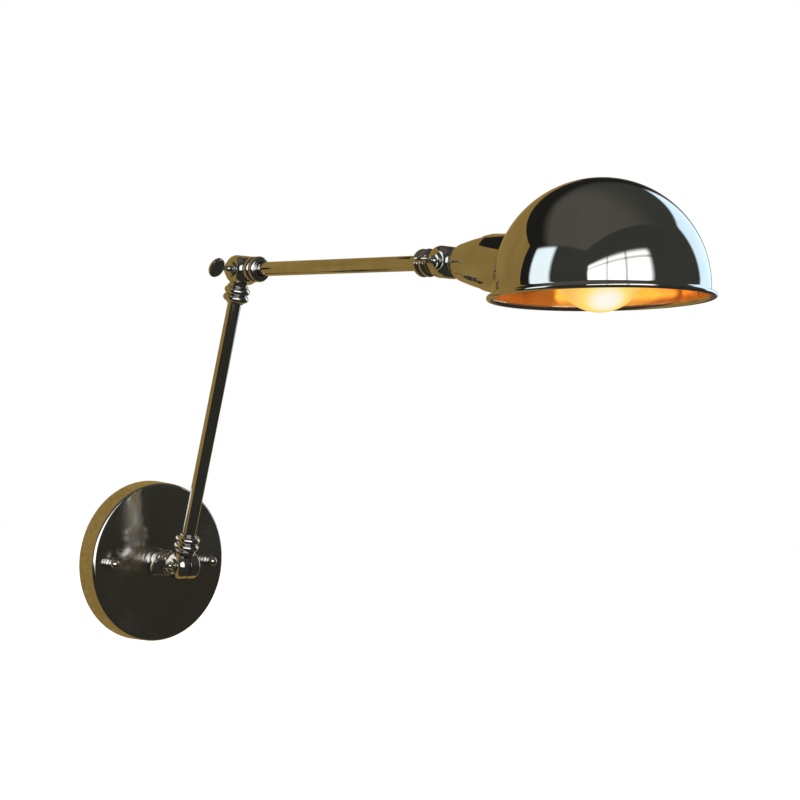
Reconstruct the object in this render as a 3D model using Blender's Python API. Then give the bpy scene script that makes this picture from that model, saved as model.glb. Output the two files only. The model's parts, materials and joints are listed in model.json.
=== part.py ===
"""Swing arm wall sconce: a round wall canopy, two round arms, three friction knuckles and a metal dome shade.

Metres, +Z up. The wall is the plane Y = 0 and the sconce reaches out along -Y. The origin is the
centre of the mounting bar's back face. Every hinge axis is parallel to X. A knuckle is made of two
halves that meet at the plane of the arms: a domed ear on the wall's side of the joint, which the
thumb screw passes through, and a plain ear on the shade's side, which it screws into.
"""

import math

import bmesh
import bpy
from mathutils import Matrix, Vector

MM = 0.001

# Gaps and clearances.
TOUCH_GAP = 0.3 * MM
BOOLEAN_MARGIN = 1.0 * MM
HOLE_CLEARANCE = 0.4 * MM

# Facets of round pieces.
LARGE_STEPS = 36
CUP_STEPS = 28
KNUCKLE_STEPS = 20
TUBE_STEPS = 16
SMALL_STEPS = 12

# Canopy, the round cover on the wall.
CANOPY_RADIUS = 60.0 * MM
CANOPY_FACE_RADIUS = 58.6 * MM
CANOPY_DEPTH = 17.4 * MM
CANOPY_WALL = 1.2 * MM
CANOPY_EDGE_RADIUS = 2.6 * MM

# Mounting bar and what it carries.
BAR_LENGTH = 104.0 * MM
BAR_WIDTH = 20.0 * MM
BAR_THICKNESS = 2.0 * MM
BAR_SLOT_SPACING = 66.0 * MM
BAR_SLOT_LENGTH = 9.0 * MM
BAR_SLOT_WIDTH = 4.4 * MM
STUD_SPACING = 88.9 * MM
STUD_RADIUS = 2.0 * MM
STUD_PROUD = 6.0 * MM
CAP_NUT_RADIUS = 3.8 * MM
CAP_NUT_FLANGE_RADIUS = 4.4 * MM
CAP_NUT_FLANGE = 1.2 * MM
CAP_NUT_LENGTH = 9.3 * MM
EARTH_SCREW_X = -20.0 * MM
EARTH_HEAD_RADIUS = 3.4 * MM
EARTH_HEAD_HEIGHT = 2.2 * MM
EARTH_SHANK_RADIUS = 1.7 * MM
TERMINAL_X = 20.0 * MM
TERMINAL_LENGTH = 16.0 * MM
TERMINAL_HEIGHT = 10.0 * MM
TERMINAL_DEPTH = 8.0 * MM
TERMINAL_WIRE_RADIUS = 1.5 * MM
TERMINAL_SCREW_RADIUS = 1.5 * MM
TERMINAL_SCREW_DEPTH = 4.0 * MM
TERMINAL_SPACING = 8.0 * MM

# Knuckle halves. Reaches are measured from the hinge axis along the stem.
EAR_RADIUS = 10.3 * MM
EAR_SWEEP_GAP = 0.5 * MM
SEAM_HALF = 0.5 * MM
DOMED_EAR_STRAIGHT = 4.2 * MM
DOMED_EAR_DEPTH = 9.2 * MM
SEAT_RADIUS = 5.8 * MM
PLAIN_EAR_DEPTH = 9.6 * MM
PLAIN_EAR_EDGE = 2.4 * MM
NECK_RADIUS = 6.6 * MM
NECK_RING_REACH = 11.9 * MM
NECK_RING_RADIUS = 7.5 * MM
NECK_RING_HALF = 0.5 * MM
BEAD_RADIUS = 9.2 * MM
BEAD_ROUND = 2.7 * MM
NEAR_BEAD_REACH = 15.2 * MM
FAR_BEAD_REACH = 20.6 * MM
COLLAR_LIP_RADIUS = 6.2 * MM
COLLAR_REACH = 24.4 * MM
SOCKET_DEPTH = 9.0 * MM
WIRE_BORE_RADIUS = 2.4 * MM
WIRE_BORE_START = 3.4 * MM
PIVOT_RADIUS = 2.0 * MM
PIVOT_BLIND = 7.6 * MM

# The fixed half that stands on the canopy.
BASE_REACH = 28.7 * MM
BASE_RING_RADIUS = 10.3 * MM
BASE_RING_BACK = 4.6 * MM
BASE_RING_FRONT = 9.4 * MM
BASE_FOOT_RADIUS = 9.2 * MM
BASE_THREAD_RADIUS = 5.0 * MM
BASE_THREAD_LENGTH = 9.5 * MM
STEM_NUT_ACROSS_FLATS = 14.0 * MM
NUT_THICKNESS = 3.0 * MM
LOCK_WASHER_RADIUS = 8.0 * MM
LOCK_WASHER_THICKNESS = 1.0 * MM

# Thumb screws, their washers and the friction washers between the ears.
THUMB_REACH = 28.2 * MM
BELL_RADIUS = 5.4 * MM
BELL_RIM = 0.9 * MM
BELL_LENGTH = 3.6 * MM
SCREW_NECK_RADIUS = 1.8 * MM
BLADE_LENGTH = 12.4 * MM
BLADE_WIDTH = 15.0 * MM
BLADE_THICKNESS = 2.4 * MM
BLADE_EDGE = 0.7 * MM
THUMB_WASHER_RADIUS = 5.2 * MM
THUMB_WASHER_THICKNESS = 0.7 * MM
FRICTION_RADIUS = 9.4 * MM
BASE_BLADE_TURN_DEG = 62.0
ELBOW_BLADE_TURN_DEG = -30.0
SHADE_BLADE_TURN_DEG = -86.0

# Arms.
TUBE_RADIUS = 5.0 * MM
TUBE_WALL = 1.0 * MM
TUBE_END_PLAY = 0.5 * MM
LOWER_ARM = 224.0 * MM
UPPER_ARM = 212.0 * MM
LOWER_LEAN_DEG = 14.4
UPPER_RISE_DEG = 0.0

# Socket cup, along its own axis from the shade hinge.
CUP_DROOP_DEG = 2.4
CUP_START = 11.5 * MM
CUP_END = 92.0 * MM
CUP_WALL = 1.0 * MM
CUP_HOLE_RADIUS = 5.6 * MM
CUP_THREAD_RADIUS = 5.0 * MM
CUP_THREAD_LENGTH = 9.0 * MM
CUP_NUT_ACROSS_FLATS = 12.0 * MM
CUP_SMALL_RADIUS = 9.6 * MM
CUP_WAIST_REACH = 21.0 * MM
CUP_WAIST_RADIUS = 13.2 * MM
CUP_SHOULDER_REACH = 38.5 * MM
CUP_SHOULDER_RADIUS = 16.8 * MM
CUP_BAND_REACH = 44.0 * MM
CUP_BAND_RADIUS = 18.4 * MM

# Dome shade, about its own upright axis.
DOME_RADIUS = 64.0 * MM
DOME_WALL = 1.0 * MM
DOME_SKIRT = 7.6 * MM
DOME_OUT = 132.9 * MM
DOME_DROP = 12.5 * MM
DOME_CANT_DEG = 6.4
LIP_RADIUS = 67.4 * MM
LIP_ROUND = 1.6 * MM
LIP_FLARE = 2.0 * MM
DOME_HOLE_RADIUS = 16.8 * MM

# Lamp holder and bulb, along the cup's axis.
HOLDER_START = 42.5 * MM
HOLDER_END = 75.0 * MM
HOLDER_RADIUS = 16.2 * MM
HOLDER_WALL = 1.6 * MM
HOLDER_FLOOR = 3.0 * MM
HOLDER_BACK_RADIUS = 9.0 * MM
HOLDER_BACK_START = 30.0 * MM
HOLDER_WIRE_RADIUS = 4.0 * MM
SHELL_RADIUS = 14.2 * MM
SHELL_WALL = 0.4 * MM
SHELL_END = 72.0 * MM
CONTACT_WIDTH = 6.0 * MM
CONTACT_THICKNESS = 0.5 * MM
CONTACT_RISE = 2.6 * MM
CAP_RADIUS = 13.2 * MM
CAP_LENGTH = 24.0 * MM
CAP_START = 50.5 * MM
CAP_WALL = 0.5 * MM
TIP_RADIUS = 5.0 * MM
TIP_HEIGHT = 1.6 * MM
BULB_RADIUS = 27.5 * MM
BULB_CENTRE = 130.5 * MM
BULB_NECK_RADIUS = 12.2 * MM
BULB_GLASS = 0.8 * MM
FILAMENT_REACH = 122.0 * MM
FILAMENT_HALF = 11.0 * MM
FILAMENT_RADIUS = 0.7 * MM
FILAMENT_LEG_RADIUS = 0.5 * MM


def clear_scene():
    """Remove every object that the scene starts with."""
    for obj in list(bpy.data.objects):
        bpy.data.objects.remove(obj, do_unlink=True)


def principled(name, colour, metallic, roughness, transmission=0.0, glow=0.0):
    """A Principled material of one colour."""
    material = bpy.data.materials.new(name)
    material.use_nodes = True
    shader = material.node_tree.nodes["Principled BSDF"]
    shader.inputs["Base Color"].default_value = (*colour, 1.0)
    shader.inputs["Metallic"].default_value = metallic
    shader.inputs["Roughness"].default_value = roughness
    shader.inputs["Transmission Weight"].default_value = transmission
    shader.inputs["Emission Color"].default_value = (*colour, 1.0)
    shader.inputs["Emission Strength"].default_value = glow
    material.diffuse_color = (*colour, 1.0)
    return material


# Finishes, one call for each piece so that each has its own material.
def chrome(name):
    return principled(name, (0.62, 0.60, 0.55), 1.0, 0.06)


def zinc_steel(name):
    return principled(name, (0.55, 0.55, 0.52), 1.0, 0.35)


def brass(name):
    return principled(name, (0.78, 0.60, 0.28), 1.0, 0.28)


def phenolic(name):
    return principled(name, (0.80, 0.78, 0.72), 0.0, 0.45)


def fibre(name):
    return principled(name, (0.10, 0.09, 0.08), 0.0, 0.7)


def frosted_glass(name):
    return principled(name, (1.0, 0.86, 0.62), 0.0, 0.35, transmission=0.6, glow=2.0)


def tungsten(name):
    return principled(name, (1.0, 0.72, 0.32), 0.4, 0.5, glow=6.0)


# Shape tools.
def arc(radius, height, bend, start_deg, end_deg, steps):
    """Points (radius, height) on a circle of the given bend about (radius, height)."""
    points = []
    for step in range(steps + 1):
        angle = math.radians(start_deg + (end_deg - start_deg) * step / steps)
        points.append((radius + bend * math.cos(angle), height + bend * math.sin(angle)))
    return points


def add_object(name, mesh, material=None, parent=None, matrix=None):
    """Link a mesh as a new object, placed by a local matrix under its parent."""
    obj = bpy.data.objects.new(name, mesh)
    bpy.context.scene.collection.objects.link(obj)
    if material is not None:
        mesh.materials.append(material)
    if parent is not None:
        obj.parent = parent
    if matrix is not None:
        obj.matrix_local = matrix
    return obj


def finish_mesh(name, bm):
    """Turn a bmesh into a mesh with its faces out, smooth except at its sharp edges."""
    bmesh.ops.remove_doubles(bm, verts=bm.verts, dist=0.001 * MM)
    bmesh.ops.recalc_face_normals(bm, faces=bm.faces)
    mesh = bpy.data.meshes.new(name)
    bm.to_mesh(mesh)
    bm.free()
    mesh.shade_smooth()
    mesh.set_sharp_from_angle(angle=math.radians(32.0))
    return mesh


def turned(name, outline, steps, closed=False):
    """Spin an outline of (radius, height) points about Z. An open outline ends on the axis."""
    bm = bmesh.new()
    verts = [bm.verts.new((radius, 0.0, height)) for radius, height in outline]
    pairs = list(zip(verts, verts[1:]))
    if closed:
        pairs.append((verts[-1], verts[0]))
    edges = [bm.edges.new(pair) for pair in pairs]
    bmesh.ops.spin(
        bm, geom=verts + edges, cent=(0, 0, 0), axis=(0, 0, 1), dvec=(0, 0, 0),
        angle=math.tau, steps=steps, use_merge=True, use_duplicate=False,
    )
    return finish_mesh(name, bm)


def rod(name, radius, start, end, steps):
    """A plain round bar along Z."""
    return turned(name, [(0.0, end), (radius, end), (radius, start), (0.0, start)], steps)


def block(name, low, high):
    """A box between two corners."""
    bm = bmesh.new()
    bmesh.ops.create_cube(bm, size=1.0)
    low, high = Vector(low), Vector(high)
    size = high - low
    for vert in bm.verts:
        vert.co = low + Vector(((vert.co[i] + 0.5) * size[i] for i in range(3)))
    return finish_mesh(name, bm)


def prism(name, points, start, end):
    """Extrude a flat outline of (x, y) points along Z."""
    bm = bmesh.new()
    face = bm.faces.new([bm.verts.new((x, y, start)) for x, y in points])
    lifted = bmesh.ops.extrude_face_region(bm, geom=[face])["geom"]
    moved = [item for item in lifted if isinstance(item, bmesh.types.BMVert)]
    bmesh.ops.translate(bm, verts=moved, vec=(0, 0, end - start))
    return finish_mesh(name, bm)


def slot_outline(length, width, steps):
    """A round-ended slot along X, centred."""
    run = (length - width) / 2
    right = [(run + x, y) for x, y in arc(0, 0, width / 2, -90, 90, steps)]
    left = [(x - run, y) for x, y in arc(0, 0, width / 2, 90, 270, steps)]
    return right + left


def boolean(target, tool, operation):
    """Cut or join with a helper object, which stays hidden."""
    tool.hide_render = True
    tool.display_type = "WIRE"
    modifier = target.modifiers.new(f"{operation.title()} {tool.name}", "BOOLEAN")
    modifier.object = tool
    modifier.operation = operation
    modifier.solver = "EXACT"


def cut(target, tool):
    boolean(target, tool, "DIFFERENCE")


def join(target, tool):
    boolean(target, tool, "UNION")


def turn_x(degrees):
    return Matrix.Rotation(math.radians(degrees), 4, "X")


def move(x=0.0, y=0.0, z=0.0):
    return Matrix.Translation((x, y, z))


# Z of a turned piece laid along the hinge axis, towards -X.
ALONG_HINGE = Matrix.Rotation(math.radians(-90.0), 4, "Y")
# Z of a turned piece laid along -Y, out of the wall.
OUT_OF_WALL = turn_x(90.0)


# Knuckle halves. Local Z runs along the stem, local X along the hinge.
def bead(reach):
    """One rounded bead of the collar, from its far side to its near side."""
    return arc(BEAD_RADIUS - BEAD_ROUND, reach, BEAD_ROUND, 72, -72, 4)


def collar_outline():
    """Outline of the collar from its lip towards the hinge, with the shank inside the ear."""
    outline = [(0.0, COLLAR_REACH), (COLLAR_LIP_RADIUS, COLLAR_REACH)]
    outline += bead(FAR_BEAD_REACH)
    outline += bead(NEAR_BEAD_REACH)
    outline += neck_outline()
    return outline


def neck_outline():
    """The neck with its thin ring, down to the shank that runs into the ear."""
    return [
        (NECK_RING_RADIUS, NECK_RING_REACH + NECK_RING_HALF),
        (NECK_RING_RADIUS, NECK_RING_REACH - NECK_RING_HALF),
        (NECK_RADIUS, NECK_RING_REACH - 2 * NECK_RING_HALF),
        (NECK_RADIUS, EAR_RADIUS / 2),
        (0.0, EAR_RADIUS / 2),
    ]


def base_stem_outline():
    """The fixed half's stem: thread behind the canopy, foot, broad ring and neck."""
    thread_end = BASE_REACH + BASE_THREAD_LENGTH
    foot = BASE_REACH - TOUCH_GAP
    round_off = (BASE_RING_FRONT - BASE_RING_BACK) / 2
    ring_reach = BASE_REACH - (BASE_RING_FRONT + BASE_RING_BACK) / 2
    outline = [(0.0, thread_end), (BASE_THREAD_RADIUS, thread_end), (BASE_THREAD_RADIUS, foot)]
    outline += [(BASE_FOOT_RADIUS, foot), (BASE_FOOT_RADIUS, BASE_REACH - BASE_RING_BACK)]
    outline += arc(BASE_RING_RADIUS - round_off, ring_reach, round_off, 68, -72, 4)
    outline += bead(NEAR_BEAD_REACH)
    return outline + neck_outline()


def cup_stem_outline():
    """The shade joint's last half: a short neck and the thread that holds the cup."""
    shoulder = CUP_START - TOUCH_GAP
    end = CUP_START + CUP_THREAD_LENGTH
    return [
        (0.0, end),
        (CUP_THREAD_RADIUS, end),
        (CUP_THREAD_RADIUS, shoulder),
        (NECK_RADIUS, shoulder),
        (NECK_RADIUS, EAR_RADIUS / 2),
        (0.0, EAR_RADIUS / 2),
    ]


def domed_ear(name):
    """Ear on the thumb screw's side: a short drum with a domed face and a flat seat, along Z."""
    rise = DOMED_EAR_DEPTH - DOMED_EAR_STRAIGHT
    run = EAR_RADIUS - SEAT_RADIUS
    outline = [(0.0, DOMED_EAR_DEPTH), (SEAT_RADIUS, DOMED_EAR_DEPTH)]
    steps = 4
    for step in range(1, steps + 1):
        angle = math.radians(90.0 * (1 - step / steps))
        outline.append((SEAT_RADIUS + run * math.cos(angle), DOMED_EAR_STRAIGHT + rise * math.sin(angle)))
    outline += [(EAR_RADIUS, 0.0), (0.0, 0.0)]
    return turned(name, outline, KNUCKLE_STEPS)


def plain_ear(name):
    """Ear that the thumb screw screws into: a drum with a rounded edge, along Z."""
    outline = [(0.0, PLAIN_EAR_DEPTH)]
    outline += arc(EAR_RADIUS - PLAIN_EAR_EDGE, PLAIN_EAR_DEPTH - PLAIN_EAR_EDGE, PLAIN_EAR_EDGE, 90, 0, 3)
    outline += [(EAR_RADIUS, 0.0), (0.0, 0.0)]
    return turned(name, outline, KNUCKLE_STEPS)


def knuckle_half(name, stem, side, parent, matrix, bores):
    """One half of a knuckle. Side -1 is the domed ear, +1 the plain one."""
    half = add_object(name, turned(name, stem, KNUCKLE_STEPS), chrome(f"{name}_finish"), parent, matrix)
    to_side = ALONG_HINGE if side < 0 else ALONG_HINGE.inverted()
    ear_mesh = domed_ear(f"{name}_ear") if side < 0 else plain_ear(f"{name}_ear")
    join(half, add_object(f"{name}_ear", ear_mesh, None, parent, matrix @ to_side))
    sweep = rod(f"{name}_sweep", EAR_RADIUS + EAR_SWEEP_GAP, -SEAM_HALF, EAR_RADIUS * 2, KNUCKLE_STEPS)
    cut(half, add_object(f"{name}_sweep", sweep, None, parent, matrix @ to_side.inverted()))
    depth = PIVOT_BLIND if side > 0 else DOMED_EAR_DEPTH + BOOLEAN_MARGIN
    pivot = rod(f"{name}_pivot", PIVOT_RADIUS + HOLE_CLEARANCE, -BOOLEAN_MARGIN, depth, SMALL_STEPS)
    cut(half, add_object(f"{name}_pivot", pivot, None, parent, matrix @ to_side))
    for index, (radius, start, end) in enumerate(bores):
        bore_name = f"{name}_bore_{index}"
        bore = rod(bore_name, radius, start, end, SMALL_STEPS if radius < TUBE_RADIUS else TUBE_STEPS)
        cut(half, add_object(bore_name, bore, None, parent, matrix))
    return half


def arm_bores():
    """A wire bore and a socket for the tube, in a half that holds a tube."""
    wire = (WIRE_BORE_RADIUS, WIRE_BORE_START, COLLAR_REACH - SOCKET_DEPTH + BOOLEAN_MARGIN)
    socket = (TUBE_RADIUS + TOUCH_GAP, COLLAR_REACH - SOCKET_DEPTH, COLLAR_REACH + BOOLEAN_MARGIN)
    return [wire, socket]


def through_bore(end):
    """One wire bore from beside the pivot to the stem's end."""
    return [(WIRE_BORE_RADIUS, WIRE_BORE_START, end + BOOLEAN_MARGIN)]


def arm_tube(name, length, parent):
    """A plain tube seated in the sockets of two halves whose hinges are a length apart."""
    start = COLLAR_REACH - SOCKET_DEPTH + TUBE_END_PLAY
    end = length - start
    inner = TUBE_RADIUS - TUBE_WALL
    outline = [(TUBE_RADIUS, end), (TUBE_RADIUS, start), (inner, start), (inner, end)]
    return add_object(name, turned(name, outline, TUBE_STEPS, True), chrome(f"{name}_finish"), parent, move())


# Thumb screws and washers. Local Z runs out of the knuckle along -X.
def thumb_screw_outline():
    """Shank, bell and neck of a thumb screw, from its neck down to its thread."""
    seat = DOMED_EAR_DEPTH + 2 * TOUCH_GAP + THUMB_WASHER_THICKNESS
    blade_start = THUMB_REACH - BLADE_LENGTH
    flare = BELL_RADIUS - SCREW_NECK_RADIUS
    outline = [(0.0, blade_start + BLADE_LENGTH / 4), (SCREW_NECK_RADIUS, blade_start + BLADE_LENGTH / 4)]
    steps = 4
    for step in range(steps + 1):
        angle = math.radians(90.0 * step / steps)
        radius = SCREW_NECK_RADIUS + flare * (1 - math.cos(angle))
        outline.append((radius, seat + BELL_RIM + (BELL_LENGTH - BELL_RIM) * (1 - math.sin(angle))))
    outline += [(BELL_RADIUS, seat), (PIVOT_RADIUS, seat)]
    thread_end = -(PIVOT_BLIND - HOLE_CLEARANCE - TOUCH_GAP)
    return outline + [(PIVOT_RADIUS, thread_end), (0.0, thread_end)]


def blade_mesh(name):
    """The flat oval grip, in the local YZ plane, with a narrower edge."""
    centre = THUMB_REACH - BLADE_LENGTH / 2
    bm = bmesh.new()
    rings = []
    for offset, inset in ((-1, BLADE_EDGE), (-0.4, 0.0), (0.4, 0.0), (1, BLADE_EDGE)):
        ring = []
        for step in range(KNUCKLE_STEPS):
            angle = math.tau * step / KNUCKLE_STEPS
            y = (BLADE_WIDTH / 2 - inset) * math.cos(angle)
            z = centre + (BLADE_LENGTH / 2 - inset) * math.sin(angle)
            ring.append(bm.verts.new((offset * BLADE_THICKNESS / 2, y, z)))
        rings.append(ring)
    for low, high in zip(rings, rings[1:]):
        for step in range(KNUCKLE_STEPS):
            after = (step + 1) % KNUCKLE_STEPS
            bm.faces.new((low[step], low[after], high[after], high[step]))
    bm.faces.new(rings[0])
    bm.faces.new(rings[-1])
    return finish_mesh(name, bm)


def thumb_screw(name, turn_deg, parent):
    """A thumb screw through a knuckle, with its blade turned about the hinge axis."""
    place = ALONG_HINGE @ Matrix.Rotation(math.radians(turn_deg), 4, "Z")
    screw = add_object(
        name, turned(name, thumb_screw_outline(), SMALL_STEPS), chrome(f"{name}_finish"), parent, place
    )
    join(screw, add_object(f"{name}_blade", blade_mesh(f"{name}_blade"), None, parent, place))
    return screw


def washer(name, outer, hole, start, thickness, material, parent, matrix):
    """A flat ring along local Z."""
    end = start + thickness
    outline = [(outer, end), (outer, start), (hole, start), (hole, end)]
    return add_object(name, turned(name, outline, TUBE_STEPS, True), material, parent, matrix)


def knuckle_fittings(prefix, turn_deg, parent):
    """Thumb screw, its washer and the friction washer between the ears."""
    thumb_screw(f"{prefix}_thumb_screw", turn_deg, parent)
    hole = PIVOT_RADIUS + HOLE_CLEARANCE
    washer(
        f"{prefix}_thumb_washer", THUMB_WASHER_RADIUS, hole, DOMED_EAR_DEPTH + TOUCH_GAP,
        THUMB_WASHER_THICKNESS, zinc_steel(f"{prefix}_thumb_washer_finish"), parent, ALONG_HINGE,
    )
    thickness = 2 * (SEAM_HALF - TOUCH_GAP)
    washer(
        f"{prefix}_friction_washer", FRICTION_RADIUS, hole, -thickness / 2, thickness,
        fibre(f"{prefix}_friction_washer_finish"), parent, ALONG_HINGE,
    )


# Wall parts.
def canopy():
    """The spun cover: a shallow pan open to the wall, with holes for the stem and the studs."""
    face = CANOPY_DEPTH
    inner_face = CANOPY_DEPTH - CANOPY_WALL
    bend = CANOPY_EDGE_RADIUS
    outline = [(BASE_THREAD_RADIUS + HOLE_CLEARANCE, face)]
    outline += arc(CANOPY_FACE_RADIUS + bend / 4 - bend, face - bend, bend, 90, 4, 5)
    outline += [(CANOPY_RADIUS, 0.0), (CANOPY_RADIUS - CANOPY_WALL, 0.0)]
    outline += arc(CANOPY_FACE_RADIUS + bend / 4 - bend, face - bend, bend - CANOPY_WALL, 4, 90, 3)
    outline += [(BASE_THREAD_RADIUS + HOLE_CLEARANCE, inner_face)]
    cover = add_object("canopy", turned("canopy", outline, LARGE_STEPS, True), chrome("canopy_finish"))
    cover.matrix_local = OUT_OF_WALL
    for side in (-1, 1):
        name = f"canopy_hole_{side}"
        hole = rod(name, STUD_RADIUS + HOLE_CLEARANCE, inner_face - bend, face + bend, SMALL_STEPS)
        place = OUT_OF_WALL @ move(x=side * STUD_SPACING / 2)
        cut(cover, add_object(name, hole, None, None, place))


def mounting_bar():
    """The steel bar on the wall: tapped for the studs and the earth screw, slotted for the box screws."""
    low = (-BAR_LENGTH / 2, -BAR_WIDTH / 2, 0.0)
    high = (BAR_LENGTH / 2, BAR_WIDTH / 2, BAR_THICKNESS)
    bar = add_object("mounting_bar", block("mounting_bar", low, high), zinc_steel("mounting_bar_finish"))
    bar.matrix_local = OUT_OF_WALL
    bevel = bar.modifiers.new("Corners", "BEVEL")
    bevel.width = BAR_THICKNESS / 4
    bevel.segments = 2
    reach = BAR_THICKNESS + BOOLEAN_MARGIN
    holes = [(side * STUD_SPACING / 2, STUD_RADIUS) for side in (-1, 1)]
    holes.append((EARTH_SCREW_X, EARTH_SHANK_RADIUS))
    for index, (x, radius) in enumerate(holes):
        name = f"bar_hole_{index}"
        hole = rod(name, radius + TOUCH_GAP, -BOOLEAN_MARGIN, reach, SMALL_STEPS)
        cut(bar, add_object(name, hole, None, None, OUT_OF_WALL @ move(x=x)))
    for side in (-1, 1):
        name = f"bar_slot_{side}"
        slot = prism(name, slot_outline(BAR_SLOT_LENGTH, BAR_SLOT_WIDTH, 6), -BOOLEAN_MARGIN, reach)
        cut(bar, add_object(name, slot, None, None, OUT_OF_WALL @ move(x=side * BAR_SLOT_SPACING / 2)))


def stud_and_cap_nut(side, word):
    """A threaded stud from the bar through the canopy, and the cap nut on its end."""
    place = OUT_OF_WALL @ move(x=side * STUD_SPACING / 2)
    stud_end = CANOPY_DEPTH + STUD_PROUD
    stud = rod(f"canopy_stud_{word}", STUD_RADIUS, 0.0, stud_end, SMALL_STEPS)
    add_object(f"canopy_stud_{word}", stud, zinc_steel(f"canopy_stud_{word}_finish"), None, place)
    foot = CANOPY_DEPTH + TOUCH_GAP
    tip = CANOPY_DEPTH + CAP_NUT_LENGTH
    bore = STUD_RADIUS + TOUCH_GAP
    bore_end = stud_end + TOUCH_GAP
    outline = [(0.0, tip)]
    outline += arc(0.0, tip - CAP_NUT_RADIUS, CAP_NUT_RADIUS, 75, 0, 4)
    outline += [(CAP_NUT_RADIUS, foot + CAP_NUT_FLANGE), (CAP_NUT_FLANGE_RADIUS, foot + CAP_NUT_FLANGE)]
    outline += [(CAP_NUT_FLANGE_RADIUS, foot), (bore, foot), (bore, bore_end), (0.0, bore_end)]
    name = f"cap_nut_{word}"
    add_object(name, turned(name, outline, SMALL_STEPS), chrome(f"{name}_finish"), None, place)


def earth_screw():
    """The earth terminal's screw on the mounting bar."""
    seat = BAR_THICKNESS + TOUCH_GAP
    top = seat + EARTH_HEAD_HEIGHT
    outline = [
        (0.0, top),
        (EARTH_HEAD_RADIUS * 0.8, top),
        (EARTH_HEAD_RADIUS, seat + EARTH_HEAD_HEIGHT / 2),
        (EARTH_HEAD_RADIUS, seat),
        (EARTH_SHANK_RADIUS, seat),
        (EARTH_SHANK_RADIUS, TOUCH_GAP),
        (0.0, TOUCH_GAP),
    ]
    mesh = turned("earth_screw", outline, SMALL_STEPS)
    add_object("earth_screw", mesh, brass("earth_screw_finish"), None, OUT_OF_WALL @ move(x=EARTH_SCREW_X))


def terminal_block():
    """A two-way terminal block on the mounting bar, with its two screws."""
    start = BAR_THICKNESS + TOUCH_GAP
    low = (TERMINAL_X - TERMINAL_LENGTH / 2, -TERMINAL_HEIGHT / 2, start)
    high = (TERMINAL_X + TERMINAL_LENGTH / 2, TERMINAL_HEIGHT / 2, start + TERMINAL_DEPTH)
    body = add_object("terminal_block", block("terminal_block", low, high), phenolic("terminal_block_finish"))
    body.matrix_local = OUT_OF_WALL
    top = start + TERMINAL_DEPTH
    for side in (-1, 1):
        x = TERMINAL_X + side * TERMINAL_SPACING / 2
        wire_name = f"terminal_wire_way_{side}"
        wire = rod(wire_name, TERMINAL_WIRE_RADIUS, -TERMINAL_HEIGHT, TERMINAL_HEIGHT, SMALL_STEPS)
        across = OUT_OF_WALL @ move(x=x, z=start + TERMINAL_DEPTH / 3) @ turn_x(90.0)
        cut(body, add_object(wire_name, wire, None, None, across))
        well_name = f"terminal_well_{side}"
        well_start = top - TERMINAL_SCREW_DEPTH
        well_radius = TERMINAL_SCREW_RADIUS + TOUCH_GAP
        well = rod(well_name, well_radius, well_start, top + BOOLEAN_MARGIN, SMALL_STEPS)
        cut(body, add_object(well_name, well, None, None, OUT_OF_WALL @ move(x=x)))
        name = "terminal_screw_left" if side < 0 else "terminal_screw_right"
        screw = rod(name, TERMINAL_SCREW_RADIUS, well_start + TOUCH_GAP, top - TOUCH_GAP, SMALL_STEPS)
        add_object(name, screw, brass(f"{name}_finish"), None, OUT_OF_WALL @ move(x=x))


def stem_fixings():
    """Lock washer and hexagon nut on the stem's thread, behind the canopy's face."""
    inner_face = CANOPY_DEPTH - CANOPY_WALL
    washer_end = inner_face - TOUCH_GAP
    hole = BASE_THREAD_RADIUS + TOUCH_GAP
    washer(
        "stem_lock_washer", LOCK_WASHER_RADIUS, hole, washer_end - LOCK_WASHER_THICKNESS,
        LOCK_WASHER_THICKNESS, zinc_steel("stem_lock_washer_finish"), None, OUT_OF_WALL,
    )
    nut_end = washer_end - LOCK_WASHER_THICKNESS - TOUCH_GAP
    hex_nut("stem_nut", STEM_NUT_ACROSS_FLATS, hole, nut_end - NUT_THICKNESS, None, OUT_OF_WALL)


def hex_nut(name, across_flats, hole, start, parent, matrix):
    """A hexagon nut along local Z."""
    corner = across_flats / math.sqrt(3)
    end = start + NUT_THICKNESS
    corners = arc(0.0, 0.0, corner, 0, 300, 5)
    nut = add_object(name, prism(name, corners, start, end), brass(f"{name}_finish"), parent, matrix)
    bore = rod(f"{name}_bore", hole, start - BOOLEAN_MARGIN, end + BOOLEAN_MARGIN, TUBE_STEPS)
    cut(nut, add_object(f"{name}_bore", bore, None, parent, matrix))


# Head: cup, shade, lamp holder and bulb, along local Z from the shade hinge.
def cup_profile():
    """Outer radius of the cup against its reach, from the small end to the band."""
    return [
        (CUP_SMALL_RADIUS - CUP_WALL, CUP_START),
        (CUP_SMALL_RADIUS, CUP_START + CUP_WALL),
        ((CUP_SMALL_RADIUS + CUP_WAIST_RADIUS) / 2 + CUP_WALL / 2, (CUP_START + CUP_WAIST_REACH) / 2),
        (CUP_WAIST_RADIUS, CUP_WAIST_REACH),
        (CUP_WAIST_RADIUS * 0.42 + CUP_SHOULDER_RADIUS * 0.58, (CUP_WAIST_REACH + CUP_SHOULDER_REACH) / 2),
        (CUP_SHOULDER_RADIUS, CUP_SHOULDER_REACH),
        (CUP_BAND_RADIUS, CUP_BAND_REACH),
        (CUP_BAND_RADIUS, CUP_END),
    ]


def dome_place():
    """Local matrix of the dome: its Z is the dome's upright axis, its origin the sphere's centre."""
    return move(y=-DOME_DROP, z=DOME_OUT) @ turn_x(-90.0 - DOME_CANT_DEG)


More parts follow.
